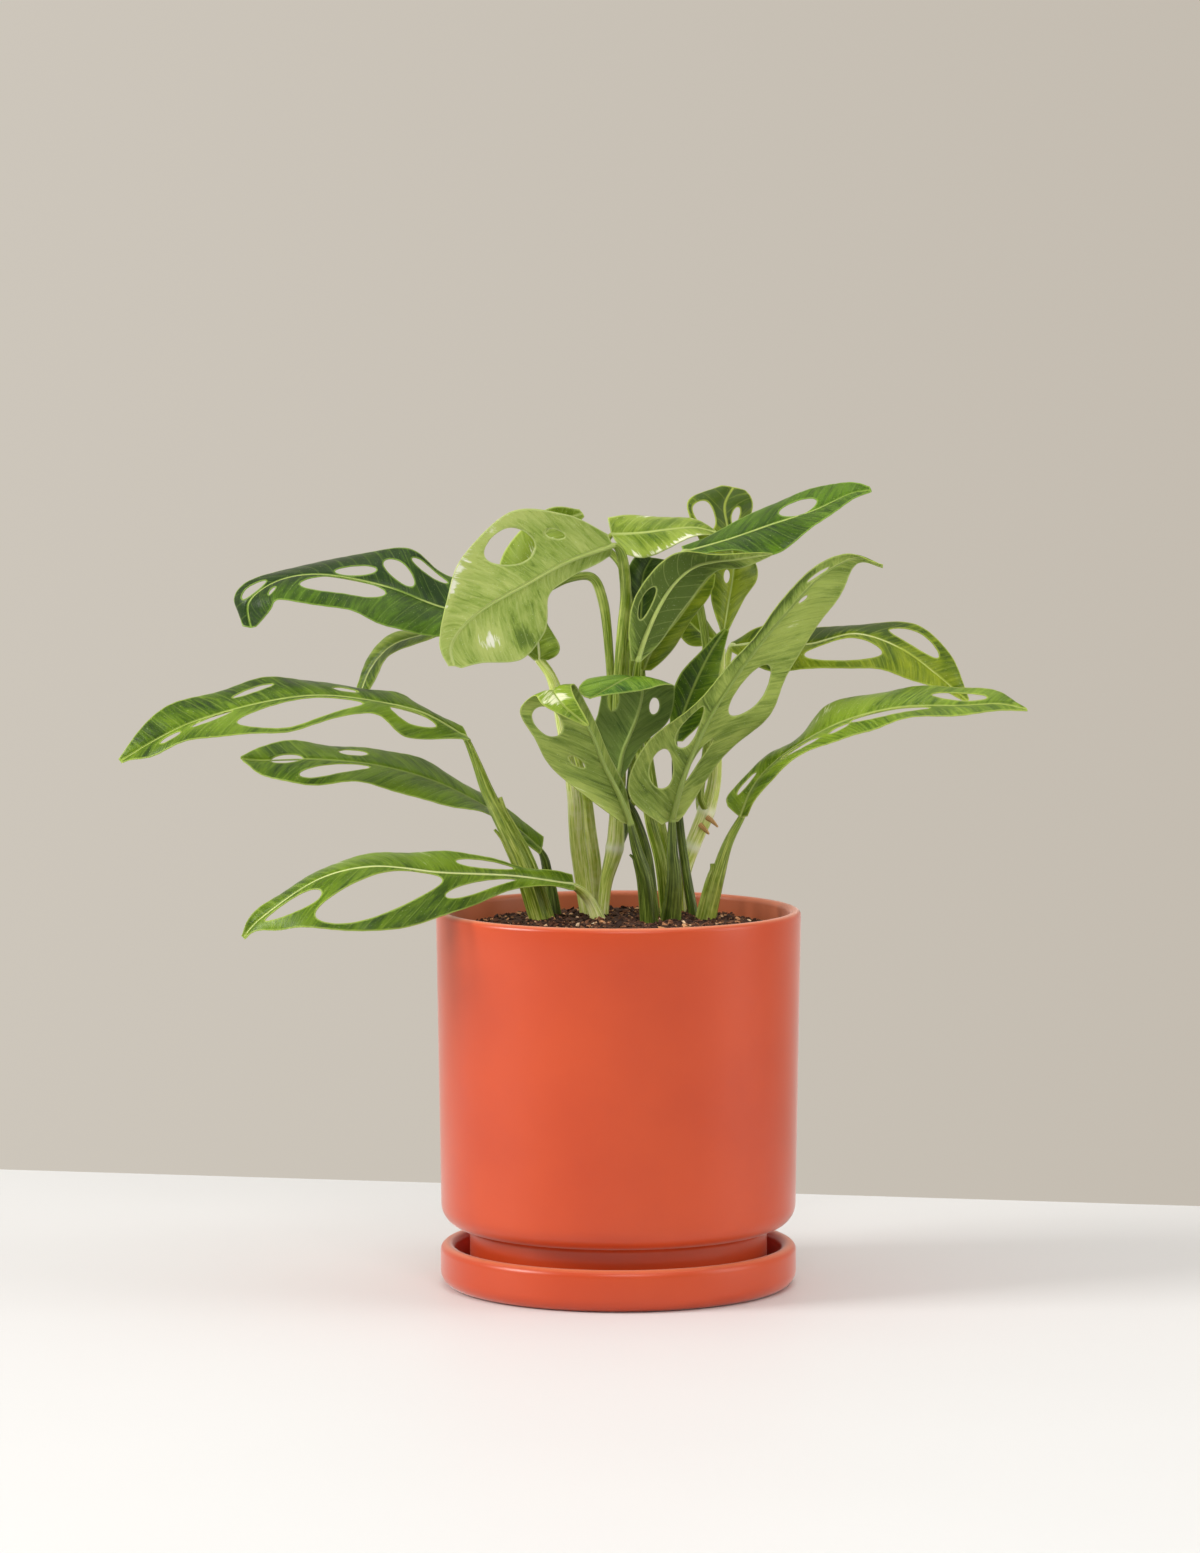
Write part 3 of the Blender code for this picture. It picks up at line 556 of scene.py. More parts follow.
# Leaves: each is a thin leathery blade with long holes between its side veins, on a fleshy petiole whose
# ribs run on under the blade as its midrib. A row is (left margin, midrib, right margin) from the petiole
# to the tip. A hole is (row, side, row, side, width), side 0 on the midrib and 1 on the right margin. A
# tone is (row, side, rows, sides, strength): a patch that is paler (+) or deeper green (-) than the rest.
LEAVES = {
    "low_left": {
        "rows": [
            [(-24, 2, 10), (-25, 6, 13), (-26, 10, 18)],
            [(-56, -24, 14), (-58, -15, 20), (-58, -8, 26)],
            [(-94, -66, 3), (-98, -45, 25), (-98, -28, 35)],
            [(-132, -90, -2), (-133, -60, 30), (-134, -40, 34)],
            [(-168, -84, -2), (-164, -62, 23), (-165, -46, 26)],
            [(-194, -68, -4), (-195, -62, 2), (-195, -56, 7)],
            [(-204, -62, -10), (-205, -62, -9), (-206, -62, -8)],
        ],
        "holes": [
            (2.0, -0.2, 3.9, -0.76, 0.65),
            (3.85, -0.4, 4.9, -0.45, 0.45),
            (1.0, -0.4, 2.0, -0.6, 0.35),
            (1.0, 0.55, 1.8, 0.5, 0.45),
        ],
        "petiole": [(-10, 14, -8, 9), (-15, 14, 1, 6.5), (-20, 11, 8, 5.5)],
    },
    "long_left": {
        "rows": [
            [(-82, 0, 94), (-84, 5, 95), (-87, 10, 101)],
            [(-116, -16, 98), (-107, 0, 109), (-111, 14, 113)],
            [(-136, -22, 110), (-133, -5, 116), (-131, 14, 120)],
            [(-166, -36, 106), (-165, -10, 120), (-166, 12, 126)],
            [(-198, -40, 100), (-198, -14, 116), (-198, 8, 127)],
            [(-236, -36, 97), (-234, -18, 106), (-237, -4, 118)],
            [(-259, -28, 87), (-257, -19, 95), (-257, -8, 108)],
            [(-274, -21, 83), (-275, -20, 84), (-276, -19, 85)],
        ],
        "holes": [
            (2.25, -0.45, 4.3, -0.6, 0.75),
            (0.7, -0.4, 1.7, -0.35, 0.5),
            (2.4, 0.35, 2.8, 0.4, 0.25),
            (3.8, 0.6, 4.4, 0.4, 0.2),
            (4.4, -0.1, 5.0, -0.4, 0.25),
            (5.2, -0.5, 5.7, -0.5, 0.3),
        ],
        "petiole": [
            (-42, 14, -6, 10.5),
            (-49, 13, 12, 10),
            (-55, 12, 28, 9.5),
            (-64, 9, 46, 8.5),
            (-73, 7, 65, 7),
            (-79, 5, 81, 5),
        ],
    },
    "mid_left": {
        "rows": [
            [(-44, 24, 28), (-43, 28, 30), (-42, 33, 37)],
            [(-67, 18, 47), (-64, 30, 48), (-63, 42, 51)],
            [(-101, 16, 58), (-100, 36, 67), (-102, 54, 75)],
            [(-140, 22, 67), (-137, 42, 77), (-138, 60, 84)],
            [(-178, 28, 68), (-176, 46, 80), (-177, 62, 88)],
            [(-200, 38, 71), (-201, 48, 79), (-201, 56, 86)],
            [(-211, 47, 78), (-213, 48, 80), (-213, 49, 81)],
        ],
        "holes": [
            (4.05, 0.0, 4.75, -0.05, 0.45), (3.1, 0.5, 3.5, 0.45, 0.35), (3.05, -0.25, 4.05, -0.7, 0.45)
        ],
        "petiole": [(-37, 30, -7, 9), (-39, 32, 10, 6), (-41, 30, 23, 5)],
    },
    "upper_left": {
        "rows": [
            [(-55, 25, 168), (-55, 30, 171), (-55, 35, 175)],
            [(-87, 10, 153), (-91, 28, 165), (-93, 42, 183)],
            [(-126, 4, 156), (-129, 26, 178), (-121, 46, 198)],
            [(-152, 2, 167), (-164, 25, 185), (-159, 46, 193)],
            [(-185, 6, 172), (-189, 24, 182), (-198, 36, 183)],
            [(-193, 12, 165), (-206, 24, 170), (-215, 34, 172)],
            [(-202, 22, 156), (-205, 24, 155), (-210, 26, 156)],
        ],
        "holes": [
            (2.05, -0.2, 3.6, -0.45, 0.55),
            (2.25, 0.3, 2.85, 0.15, 0.3),
            (1.65, 0.25, 2.2, 0.55, 0.4),
            (1.1, 0.72, 1.8, 0.78, 0.25),
            (4.2, 0.35, 5.0, 0.35, 0.5),
            (4.15, -0.4, 4.45, -0.55, 0.2),
        ],
        "petiole": [
            (-6, 42, 63, 5),
            (-4, 35, 114, 4.5),
            (-6, 34, 150, 5),
            (-9, 33, 171, 5.5),
            (-15, 32, 183, 5),
            (-28, 31, 182, 4),
            (-43, 30, 175, 4),
        ],
    },
    "front_pale": {
        "rows": [
            [(-6, 10, 208), (-3, 14, 202), (-4, 18, 196)],
            [(-29, -14, 220), (-28, 0, 194), (-25, 8, 185)],
            [(-57, -38, 222), (-53, -18, 181), (-38, -4, 174)],
            [(-85, -50, 199), (-73, -32, 170), (-42, -8, 154)],
            [(-94, -50, 174), (-86, -40, 159), (-53, -20, 140)],
            [(-98, -46, 151), (-92, -42, 148), (-75, -32, 139)],
            [(-93, -43, 138), (-90, -42, 138), (-86, -41, 137)],
        ],
        "holes": [(1.6, -0.42, 2.6, -0.68, 0.5), (1.0, -0.5, 1.4, -0.62, 0.18)],
        "petiole": [
            (-1, 30, 66, 6.5),
            (0, 24, 115, 6.5),
            (2, 20, 149, 6.5),
            (4, 18, 172, 6),
            (3, 16, 189, 6),
            (1, 15, 198, 5),
        ],
    },
    "drooping": {
        "rows": [
            [(-81, 44, 156), (-81, 48, 159), (-81, 52, 161)],
            [(-105, 42, 148), (-106, 50, 151), (-108, 58, 152)],
            [(-126, 42, 139), (-127, 52, 144), (-128, 62, 150)],
            [(-136, 46, 127), (-140, 54, 130), (-143, 62, 135)],
            [(-146, 53, 112), (-147, 54, 112), (-149, 55, 113)],
        ],
        "holes": [],
        "petiole": [
            (-12, 54, -4, 6),
            (-13, 50, 17, 7),
            (-16, 45, 40, 7),
            (-19, 38, 64, 6),
            (-27, 32, 95, 4),
            (-35, 27, 124, 4),
            (-47, 30, 140, 4),
            (-65, 44, 148, 4),
        ],
    },
    "behind_pale": {
        "rows": [
            [(-47, 6, 138), (-44, 8, 138), (-39, 12, 138)],
            [(-57, 4, 149), (-45, 8, 150), (-33, 10, 145)],
            [(-66, 8, 171), (-49, 12, 173), (-41, 14, 165)],
            [(-64, 20, 197), (-49, 22, 194), (-36, 24, 194)],
            [(-41, 26, 221), (-37, 28, 212), (-26, 30, 209)],
            [(-22, 32, 221), (-20, 32, 219), (-19, 32, 217)],
        ],
        "holes": [],
        "petiole": [
            (-17, 34, -4, 8),
            (-20, 34, 13, 9),
            (-23, 30, 36, 9),
            (-25, 23, 65, 8),
            (-31, 16, 96, 5.5),
            (-37, 11, 126, 5),
        ],
    },
    "top_pale": {
        "rows": [
            [(-6, 38, 216), (-4, 34, 207), (3, 30, 196)],
            [(11, 44, 217), (12, 30, 208), (13, 22, 195)],
            [(28, 46, 217), (28, 30, 210), (28, 20, 200)],
            [(43, 42, 215), (43, 32, 211), (43, 24, 205)],
            [(54, 36, 209), (55, 34, 208), (55, 32, 206)],
        ],
        "holes": [],
        "petiole": [
            (9, 37, 58, 4),
            (8, 34, 81, 4),
            (7, 31, 115, 4),
            (7, 31, 160, 4),
            (2, 36, 188, 4),
            (-7, 36, 200, 4),
        ],
    },
    "top_back": {
        "rows": [
            [(57, 38, 153), (59, 40, 151), (62, 42, 153)],
            [(53, 42, 170), (62, 48, 168), (71, 54, 170)],
            [(50, 44, 191), (65, 52, 189), (78, 60, 184)],
            [(41, 48, 213), (62, 56, 208), (73, 64, 205)],
            [(40, 54, 226), (60, 60, 222), (76, 66, 222)],
            [(58, 68, 233), (65, 70, 232), (72, 72, 230)],
        ],
        "holes": [(2.85, -0.6, 4.0, -0.6, 0.55), (3.2, 0.3, 3.9, 0.45, 0.3), (1.5, -0.3, 1.85, -0.3, 0.3)],
        "petiole": [],
    },
    "upper_right": {
        "rows": [
            [(35, 15, 201), (36, 12, 198), (39, 9, 195)],
            [(62, 28, 211), (61, 16, 205), (62, 6, 199)],
            [(85, 38, 224), (85, 22, 213), (87, 6, 198)],
            [(108, 38, 232), (109, 22, 221), (111, 6, 213)],
            [(127, 34, 235), (129, 24, 230), (129, 16, 227)],
            [(140, 25, 234), (141, 24, 232), (141, 23, 231)],
        ],
        "holes": [(2.2, -0.32, 3.1, -0.28, 0.55)],
        "petiole": [
            (46, 42, 60, 4.5),
            (49, 42, 80, 4.5),
            (51, 42, 103, 4.5),
            (50, 42, 137, 4.5),
            (46, 42, 165, 4.5),
            (40, 30, 185, 4.5),
        ],
    },
    "right_under": {
        "rows": [
            [(12, -10, 138), (10, -12, 139), (7, -14, 139)],
            [(24, -2, 149), (15, -10, 154), (5, -18, 157)],
            [(37, 6, 169), (27, -4, 177), (11, -18, 178)],
            [(53, 12, 185), (43, 2, 191), (31, -12, 197)],
            [(69, 2, 190), (65, -4, 195), (57, -12, 199)],
            [(85, -3, 197), (85, -4, 198), (85, -5, 198)],
        ],
        "holes": [(1.3, 0.45, 2.1, 0.5, 0.45)],
        "petiole": [
            (28, 22, -3, 8),
            (24, 20, 23, 7),
            (18, 18, 47, 6),
            (13, 12, 77, 5),
            (10, 2, 111, 5),
            (10, -8, 129, 5),
        ],
    },
    "long_up": {
        "rows": [
            [(33, 6, 48), (29, 2, 49), (24, -2, 47)],
            [(41, 10, 59), (33, -2, 65), (6, -14, 65)],
            [(57, 14, 82), (40, -6, 86), (15, -22, 93)],
            [(80, 16, 102), (53, -8, 113), (39, -22, 114)],
            [(95, 18, 130), (74, -4, 143), (68, -12, 143)],
            [(112, 20, 157), (92, 2, 164), (87, -6, 169)],
            [(125, 16, 178), (112, 8, 185), (105, 0, 187)],
            [(134, 15, 191), (132, 12, 195), (128, 8, 197)],
            [(147, 15, 189), (147, 14, 190), (147, 13, 191)],
        ],
        "holes": [
            (1.1, 0.32, 2.0, 0.52, 0.45),
            (2.1, 0.25, 3.0, 0.42, 0.45),
            (1.35, -0.22, 2.4, -0.4, 0.25),
            (2.95, -0.45, 3.95, -0.55, 0.5),
            (5.3, -0.15, 5.5, -0.2, 0.15),
            (5.75, 0.3, 6.3, 0.2, 0.25),
        ],
        "petiole": [(29, 4, -6, 12), (31, 2, 16, 8), (30, 2, 33, 6)],
    },
    "right_back": {
        "rows": [
            [(64, 58, 145), (63, 54, 143), (64, 50, 140)],
            [(83, 56, 154), (83, 48, 146), (83, 38, 130)],
            [(109, 56, 153), (107, 44, 145), (102, 32, 132)],
            [(136, 54, 156), (133, 42, 151), (130, 26, 132)],
            [(168, 54, 154), (158, 40, 143), (152, 26, 130)],
            [(187, 46, 139), (179, 38, 128), (173, 30, 123)],
            [(197, 39, 114), (196, 38, 113), (194, 37, 113)],
        ],
        "holes": [(2.0, 0.48, 3.65, 0.48, 0.65), (3.6, -0.5, 4.8, -0.5, 0.5)],
        "petiole": [(51, 58, 53, 4.5), (55, 58, 73, 4.5), (58, 58, 102, 4.5), (60, 57, 124, 4.5)],
    },
    "long_right": {
        "rows": [
            [(61, 16, 56), (68, 12, 50), (72, 8, 51)],
            [(64, 20, 64), (74, 9, 66), (79, -1, 66)],
            [(81, 18, 84), (84, 6, 79), (91, -8, 80)],
            [(99, 18, 93), (99, 4, 91), (108, -12, 89)],
            [(119, 20, 112), (125, 0, 105), (129, -16, 98)],
            [(156, 18, 122), (156, -4, 113), (151, -20, 105)],
            [(191, 8, 122), (190, -8, 114), (188, -20, 110)],
            [(212, 0, 121), (211, -9, 115), (211, -16, 112)],
            [(225, -9, 113), (226, -10, 112), (226, -11, 111)],
        ],
        "holes": [
            (4.1, 0.3, 5.5, 0.35, 0.45),
            (5.5, -0.45, 6.6, -0.35, 0.4),
            (0.8, -0.5, 1.6, -0.35, 0.3),
            (3.6, 0.5, 4.05, 0.4, 0.2),
            (2.3, 0.4, 3.4, 0.45, 0.3),
        ],
        "petiole": [(49, 14, -6, 9.5), (55, 14, 15, 8), (61, 13, 35, 5.5)],
    },
    "front_curled": {
        "rows": [
            [(8, -8, 50), (6, -10, 48), (2, -12, 49)],
            [(3, -8, 68), (0, -14, 64), (-16, -22, 63)],
            [(-5, -12, 87), (-9, -20, 83), (-36, -30, 81)],
            [(-12, -18, 104), (-16, -26, 101), (-46, -38, 97)],
            [(-21, -26, 122), (-28, -34, 118), (-54, -44, 113)],
            [(-26, -40, 129), (-36, -42, 125), (-46, -50, 122)],
            [(-24, -50, 121), (-30, -52, 117), (-40, -54, 116)],
            [(-16, -54, 107), (-17, -54, 106), (-18, -54, 106)],
        ],
        "holes": [(3.0, 0.6, 4.0, 0.55, 0.5), (1.9, 0.4, 2.3, 0.5, 0.2)],
        "petiole": [(18, -4, -5, 9), (15, -6, 17, 7.5), (10, -8, 34, 6)],
    },
    "folded_top": {
        "rows": [
            [(2, -2, 73), (-1, -4, 72), (-4, -6, 73)],
            [(12, 4, 90), (2, -4, 88), (-15, -8, 93)],
            [(28, 4, 104), (9, -6, 105), (-11, -8, 111)],
            [(31, -4, 123), (13, -10, 122), (-10, -14, 126)],
            [(27, -20, 127), (8, -22, 131), (-16, -26, 129)],
            [(12, -34, 124), (-5, -34, 126), (-22, -36, 125)],
            [(-12, -40, 121), (-16, -40, 120), (-19, -40, 121)],
        ],
        "holes": [(2.1, 0.65, 2.9, 0.7, 0.3), (2.2, -0.5, 2.7, -0.4, 0.3)],
        "petiole": [(20, 14, -4, 7), (16, 12, 27, 6), (9, 6, 51, 5), (1, -2, 64, 4.5)],
    },
    "narrow_fold": {
        "rows": [
            [(11, 12, 133), (14, 14, 132), (18, 16, 132)],
            [(15, 8, 149), (20, 14, 145), (30, 22, 142)],
            [(26, 10, 162), (33, 16, 160), (40, 24, 158)],
            [(40, 14, 177), (44, 20, 175), (49, 26, 171)],
            [(53, 23, 186), (53, 24, 186), (54, 25, 185)],
        ],
        "holes": [],
        "petiole": [(32, 33, -5, 6), (28, 32, 25, 5), (21, 28, 59, 4.5), (16, 22, 93, 4), (14, 17, 119, 4)],
    },
    "lime_back": {
        "rows": [
            [(53, 54, 144), (56, 58, 145), (57, 62, 148)],
            [(40, 54, 144), (46, 62, 151), (49, 70, 159)],
            [(32, 58, 154), (37, 66, 160), (40, 72, 166)],
            [(25, 66, 166), (28, 70, 169), (31, 72, 171)],
        ],
        "holes": [],
        "petiole": [(46, 60, 56, 4), (50, 62, 84, 4), (54, 62, 118, 4)],
    },
    "broad_back": {
        "rows": [
            [(30, 29, 92), (32, 30, 91), (36, 31, 91)],
            [(29, 27, 112), (36, 32, 106), (46, 35, 102)],
            [(34, 26, 129), (44, 32, 126), (55, 36, 120)],
            [(47, 30, 143), (52, 34, 142), (58, 37, 136)],
            [(59, 35, 154), (60, 36, 154), (62, 37, 153)],
        ],
        "holes": [],
        "petiole": [(43, 34, -6, 6), (37, 36, 24, 5), (33, 33, 58, 4.5), (32, 31, 78, 4)],
    },
    "shaded_back": {
        "rows": [
            [(9, 42, 148), (12, 44, 148), (16, 46, 147)],
            [(4, 40, 167), (13, 46, 166), (24, 52, 167)],
            [(5, 42, 185), (14, 48, 183), (28, 56, 181)],
            [(10, 50, 195), (19, 54, 193), (28, 60, 191)],
        ],
        "holes": [],
        "petiole": [(4, 47, 40, 4), (7, 46, 69, 4), (11, 45, 108, 4)],
    },
}
VARIEGATED = {"front_pale", "behind_pale", "top_pale", "narrow_fold", "lime_back", "right_back"}
CELL = 0.00115
BLADE_THICKNESS = 0.00045
VEIN_SPACING = 0.0085
VEIN_SLANT = 0.75
ARCH = 0.25
QUILTING = 0.00016
QUILT_WIDTH = 0.006
MARGIN_WAVE = 0.0012
LONG_WAVE = 0.011
SHORT_WAVE = 0.0063
CREASE_DEPTH = 0.0006
CREASE_WIDTH = 0.0012
MIDRIB_SAMPLES = 200


def leaf_skin(name, shade, deep, light, cream, vein, roughness, gloss, grain_height):
    """Living leaf skin. Green flows in streaks along the side veins, cream where it is variegated, with a
    pale midrib, faint pale veins and a narrow pale band round the blade and its holes, which is partly
    the leaf's own paler margin and partly a painted highlight along its edges."""
    made, tree, shader = finish_named(
        name, Roughness=roughness, IOR=1.45, Subsurface_Weight=0.15, Specular_IOR_Level=gloss
    )
    shader.inputs["Subsurface Radius"].default_value = (0.7, 1.0, 0.2)
    shader.inputs["Subsurface Scale"].default_value = 0.0015
    flow = add(tree, "UVMap", uv_map="flow").outputs["UV"]
    tone = add(tree, "Attribute", attribute_name="tone").outputs["Fac"]
    rim_gap = add(tree, "Attribute", attribute_name="rim_gap").outputs["Fac"]
    # streaks about 3 mm by 14 mm, clouds about 20 mm
    streak_at = add(tree, "VectorMath", {0: flow, 1: (330, 62, 1)}, operation="MULTIPLY").outputs[0]
    streak = add(
        tree, "TexNoise", {"Vector": streak_at, "Scale": 1, "Detail": 8, "Roughness": 0.68, "Distortion": 0.8}
    )
    cloud_at = add(tree, "VectorMath", {0: flow, 1: (60, 32, 1)}, operation="MULTIPLY").outputs[0]
    cloud = add(tree, "TexNoise", {"Vector": cloud_at, "Scale": 1, "Detail": 3, "Roughness": 0.55})
    mixed = add(tree, "Math", {0: cloud.outputs["Fac"], 1: tone}, operation="ADD")
    blend = add(
        tree, "Math", {0: streak.outputs["Fac"], 1: 1.25, 2: mixed.outputs[0]}, operation="MULTIPLY_ADD"
    )
    share = add(tree, "Math", {0: blend.outputs[0], 1: 0.8, 2: -0.375}, operation="MULTIPLY_ADD")
    marbled = add(
        tree,
        "ValToRGB",
        {"Fac": share.outputs[0]},
        stops=[(0.26, shade), (0.96, cream), (0.42, deep), (0.70, light), (0.84, light)],
    )
    parts = add(tree, "SeparateXYZ", {0: flow})
    along_vein = add(tree, "Math", {0: parts.outputs["X"], 1: VEIN_SPACING / 2}, operation="PINGPONG")
    off_vein = along_vein.outputs[0]
    side_vein = add(
        tree,
        "MapRange",
        {"Value": off_vein, "From Min": 0.00005, "From Max": 0.0005, "To Min": 0.22, "To Max": 0},
    )
    off_midrib = add(tree, "Math", {0: parts.outputs["Y"]}, operation="ABSOLUTE")
    midrib = add(
        tree,
        "MapRange",
        {"Value": off_midrib.outputs[0], "From Min": 0.0004, "From Max": 0.0012, "To Min": 0.8, "To Max": 0},
    )
    # a pale band along the blade's edge and round its holes: partly the leaf's own paler margin, partly a
    # painted highlight on the edges
    margin = add(
        tree,
        "MapRange",
        {"Value": rim_gap, "From Min": 0.0003, "From Max": 0.0011, "To Min": 0.75, "To Max": 0},
    )
    veins = add(
        tree, "Math", {0: side_vein.outputs["Result"], 1: midrib.outputs["Result"]}, operation="MAXIMUM"
    )
    lines = add(tree, "Math", {0: veins.outputs[0], 1: margin.outputs["Result"]}, operation="MAXIMUM")
    lined = add(
        tree, "Mix", {0: lines.outputs[0], 6: marbled.outputs["Color"], 7: linear(vein)}, data_type="RGBA"
    )
    pore = add(tree, "TexNoise", {"Vector": flow, "Scale": 900, "Detail": 3, "Roughness": 0.6})
    # pale flecks about 0.6 mm across, thinly scattered
    fleck = add(tree, "TexNoise", {"Vector": flow, "Scale": 1500, "Detail": 1, "Roughness": 0.4})
    flecks = add(
        tree,
        "MapRange",
        {"Value": fleck.outputs["Fac"], "From Min": 0.70, "From Max": 0.76, "To Min": 0, "To Max": 0.45},
    )
    flecked = add(
        tree,
        "Mix",
        {0: flecks.outputs["Result"], 6: lined.outputs[2], 7: linear(cream)},
        data_type="RGBA",
    )
    relief = add(
        tree, "Math", {0: streak.outputs["Fac"], 1: 2.0, 2: pore.outputs["Fac"]}, operation="MULTIPLY_ADD"
    )
    bump = add(tree, "Bump", {"Height": relief.outputs[0], "Strength": 0.5, "Distance": grain_height})
    tree.links.new(flecked.outputs[2], shader.inputs["Base Color"])
    tree.links.new(bump.outputs["Normal"], shader.inputs["Normal"])
    return made


def eased(points, at):
    """The smooth curve of along(), read at many places at once."""
    points = np.array(points)
    last = len(points) - 1
    index = np.clip(at.astype(int), 0, last - 1)
    t = (at - index)[:, None]
    a, b = points[np.maximum(index - 1, 0)], points[index]
    c, d = points[index + 1], points[np.minimum(index + 2, last)]
    return 0.5 * (
        2 * b + (c - a) * t + (2 * a - 5 * b + 4 * c - d) * t**2 + (3 * b - a - 3 * c + d) * t**3
    )


def within(u, v, hole):
    """How far out a place on the blade lies in a hole: 0 at its middle and 1 on its rim."""
    u0, v0, u1, v1, width = hole
    lengthwise = (u - (u0 + u1) / 2) / ((u1 - u0) / 2)
    across = (v - (v0 + v1) / 2 - lengthwise * (v1 - v0) / 2) / (width / 2)
    return np.hypot(lengthwise, across)


def on_sheet(rails, u, v):
    """Points of the blade's middle surface at rows u and sides v, and the directions it faces."""
    last = len(rails[0]) - 1
    left, middle, right = (eased(rail, u) for rail in rails)
    edge = np.where((v > 0)[:, None], right, left)
    ahead = eased(rails[1], np.minimum(u + 0.01, last)) - eased(rails[1], np.maximum(u - 0.01, 0))
    up = np.cross(right - left, ahead)
    up /= np.maximum(np.linalg.norm(up, axis=1, keepdims=True), 1e-12)
    share = np.abs(v)[:, None]
    reach = np.linalg.norm(edge - middle, axis=1, keepdims=True)
    return middle + (edge - middle) * share + up * ARCH * reach * share * (1 - share), up


def rails_of(leaf):
    """The blade's left margin, midrib and right margin, each as the points of a smooth curve."""
    return [[place(*row[side]) for row in leaf["rows"]] for side in range(3)]


def blade(leaf, patches, seed):
    """A bmesh of a blade's middle surface, with its holes cut, its margins waved and its veins quilted.
    It starts as a flat grid of rows by sides, in which the holes are cut, and is then laid on its rails."""
    rails = rails_of(leaf)
    last = len(rails[1]) - 1
    length = sum((b - a).length for a, b in zip(rails[1], rails[1][1:]))
    width = max((m - a).length + (b - m).length for a, m, b in zip(*rails))
    bm = bmesh.new()
    tone = bm.verts.layers.float.new("tone")
    rim_gap = bm.verts.layers.float.new("rim_gap")
    flow = bm.loops.layers.uv.new("flow")
    bmesh.ops.create_grid(
        bm, x_segments=max(24, round(length / CELL)), y_segments=max(12, round(width / CELL)), size=1
    )
    for vert in bm.verts:
        vert.co.x = (vert.co.x + 1) / 2 * last
    flat = np.array([face.calc_center_median() for face in bm.faces])
    inside = np.zeros(len(flat), bool)
    for hole in leaf["holes"]:
        inside |= within(flat[:, 0], flat[:, 1], hole) < 1
    gone = [face for face, out in zip(bm.faces, inside) if out]
    bmesh.ops.delete(bm, geom=gone, context="FACES")
    outline = [vert for vert in bm.verts if vert.is_boundary]
    for vert in outline:
        if 1e-6 < vert.co.x < last - 1e-6 and abs(vert.co.y) < 1 - 1e-6:
            far, hole = min((within(vert.co.x, vert.co.y, hole), hole) for hole in leaf["holes"])
            middle = Vector(((hole[0] + hole[2]) / 2, (hole[1] + hole[3]) / 2, 0))
            vert.co = middle + (vert.co - middle) / far
    near = {v for vert in outline for edge in vert.link_edges for v in edge.verts if not v.is_boundary}
    for _ in range(3):
        bmesh.ops.smooth_vert(bm, verts=list(near), factor=0.5, use_axis_x=True, use_axis_y=True)
    u, v = np.array([vert.co.xy for vert in bm.verts]).T
    u, v = np.clip(u, 0, last), np.clip(v, -1, 1)
    places, up = on_sheet(rails, u, v)
    middles = eased(rails[1], u)
    samples = np.linspace(0, last, MIDRIB_SAMPLES)
    strides = np.linalg.norm(np.diff(eased(rails[1], samples), axis=0), axis=1)
    travelled = np.interp(u, samples, np.append(0, np.cumsum(strides)))
    off = np.linalg.norm(places - middles, axis=1) * np.sign(v)
    vein = travelled - VEIN_SLANT * np.abs(off) + 0.31 * seed
    pillow = np.abs(np.sin(np.pi * vein / VEIN_SPACING)) * np.minimum(np.abs(off) / QUILT_WIDTH, 1)
    wave = np.sin(travelled / LONG_WAVE + 2 * seed + 1.7 * (v > 0))
    wave += 0.5 * np.sin(travelled / SHORT_WAVE + seed)
    crease = -CREASE_DEPTH * np.exp(-((off / CREASE_WIDTH) ** 2))
    ends = np.minimum(1, np.minimum(u, last - u) / 0.5)
    lift = QUILTING * pillow + MARGIN_WAVE * wave * np.abs(v) ** 3 * ends + crease * ends
    places = places + up * lift[:, None]
    tones = np.zeros(len(u))
    for row, side, rows_out, sides_out, strength in patches:
        tones += strength * np.exp(-(((u - row) / rows_out) ** 2) - ((v - side) / sides_out) ** 2)
    for vert, spot, value in zip(bm.verts, places, tones):
        vert.co = spot
        vert[tone] = value
    tree = KDTree(len(outline))
    for i, vert in enumerate(outline):
        tree.insert(vert.co, i)
    tree.balance()
    for vert in bm.verts:
        vert[rim_gap] = tree.find(vert.co)[2]
    bm.verts.index_update()
    for face in bm.faces:
        for loop in face.loops:
            i = loop.vert.index
            loop[flow].uv = (vein[i], off[i])
    bmesh.ops.recalc_face_normals(bm, faces=bm.faces)
    facing = sum((Vector(up[face.verts[0].index]).dot(face.normal) for face in bm.faces), 0.0)
    if facing < 0:
        bmesh.ops.reverse_faces(bm, faces=bm.faces)
    return bm


# Where the petioles that don't come out of the soil leave their stem: a point inside it, with a diameter.
BRANCHES = {
    "upper_left": (-1, 32, 53, 4),
    "front_pale": (0, 30, 60, 6),
    "top_pale": (-1, 32, 48, 3.6),
    "upper_right": (50, 48, 51, 4),
    "right_back": (49, 51, 43, 4),
    "lime_back": (48, 51, 45, 3.6),
    "shaded_back": (-2, 33, 28, 3.6),
}


def midrib_route(leaf, branch):
    """The petiole's route, run on under the blade to its tip, where it thins out as the midrib."""
    rails = rails_of(leaf)
    last = len(rails[1]) - 1
    route = standing(branch + leaf["petiole"]) if leaf["petiole"] else []
    thick = 0.8 * route[-1][1] if route else 0.003
    stations = np.array([0.0, 0.25] + [i / 2 for i in range(1, 2 * last)] + [last - 0.12])
    points, up = on_sheet(rails, stations, np.zeros(len(stations)))
    for at, point, above in zip(stations, points, up):
        share = at / last
        diameter = thick * (1 - share) ** 1.3 * 0.62 + 0.0005
        sunk = 0.30 * diameter + 0.0003
        route.append((Vector(point - above * sunk), diameter if at > 0 else thick * 0.85))
    return route


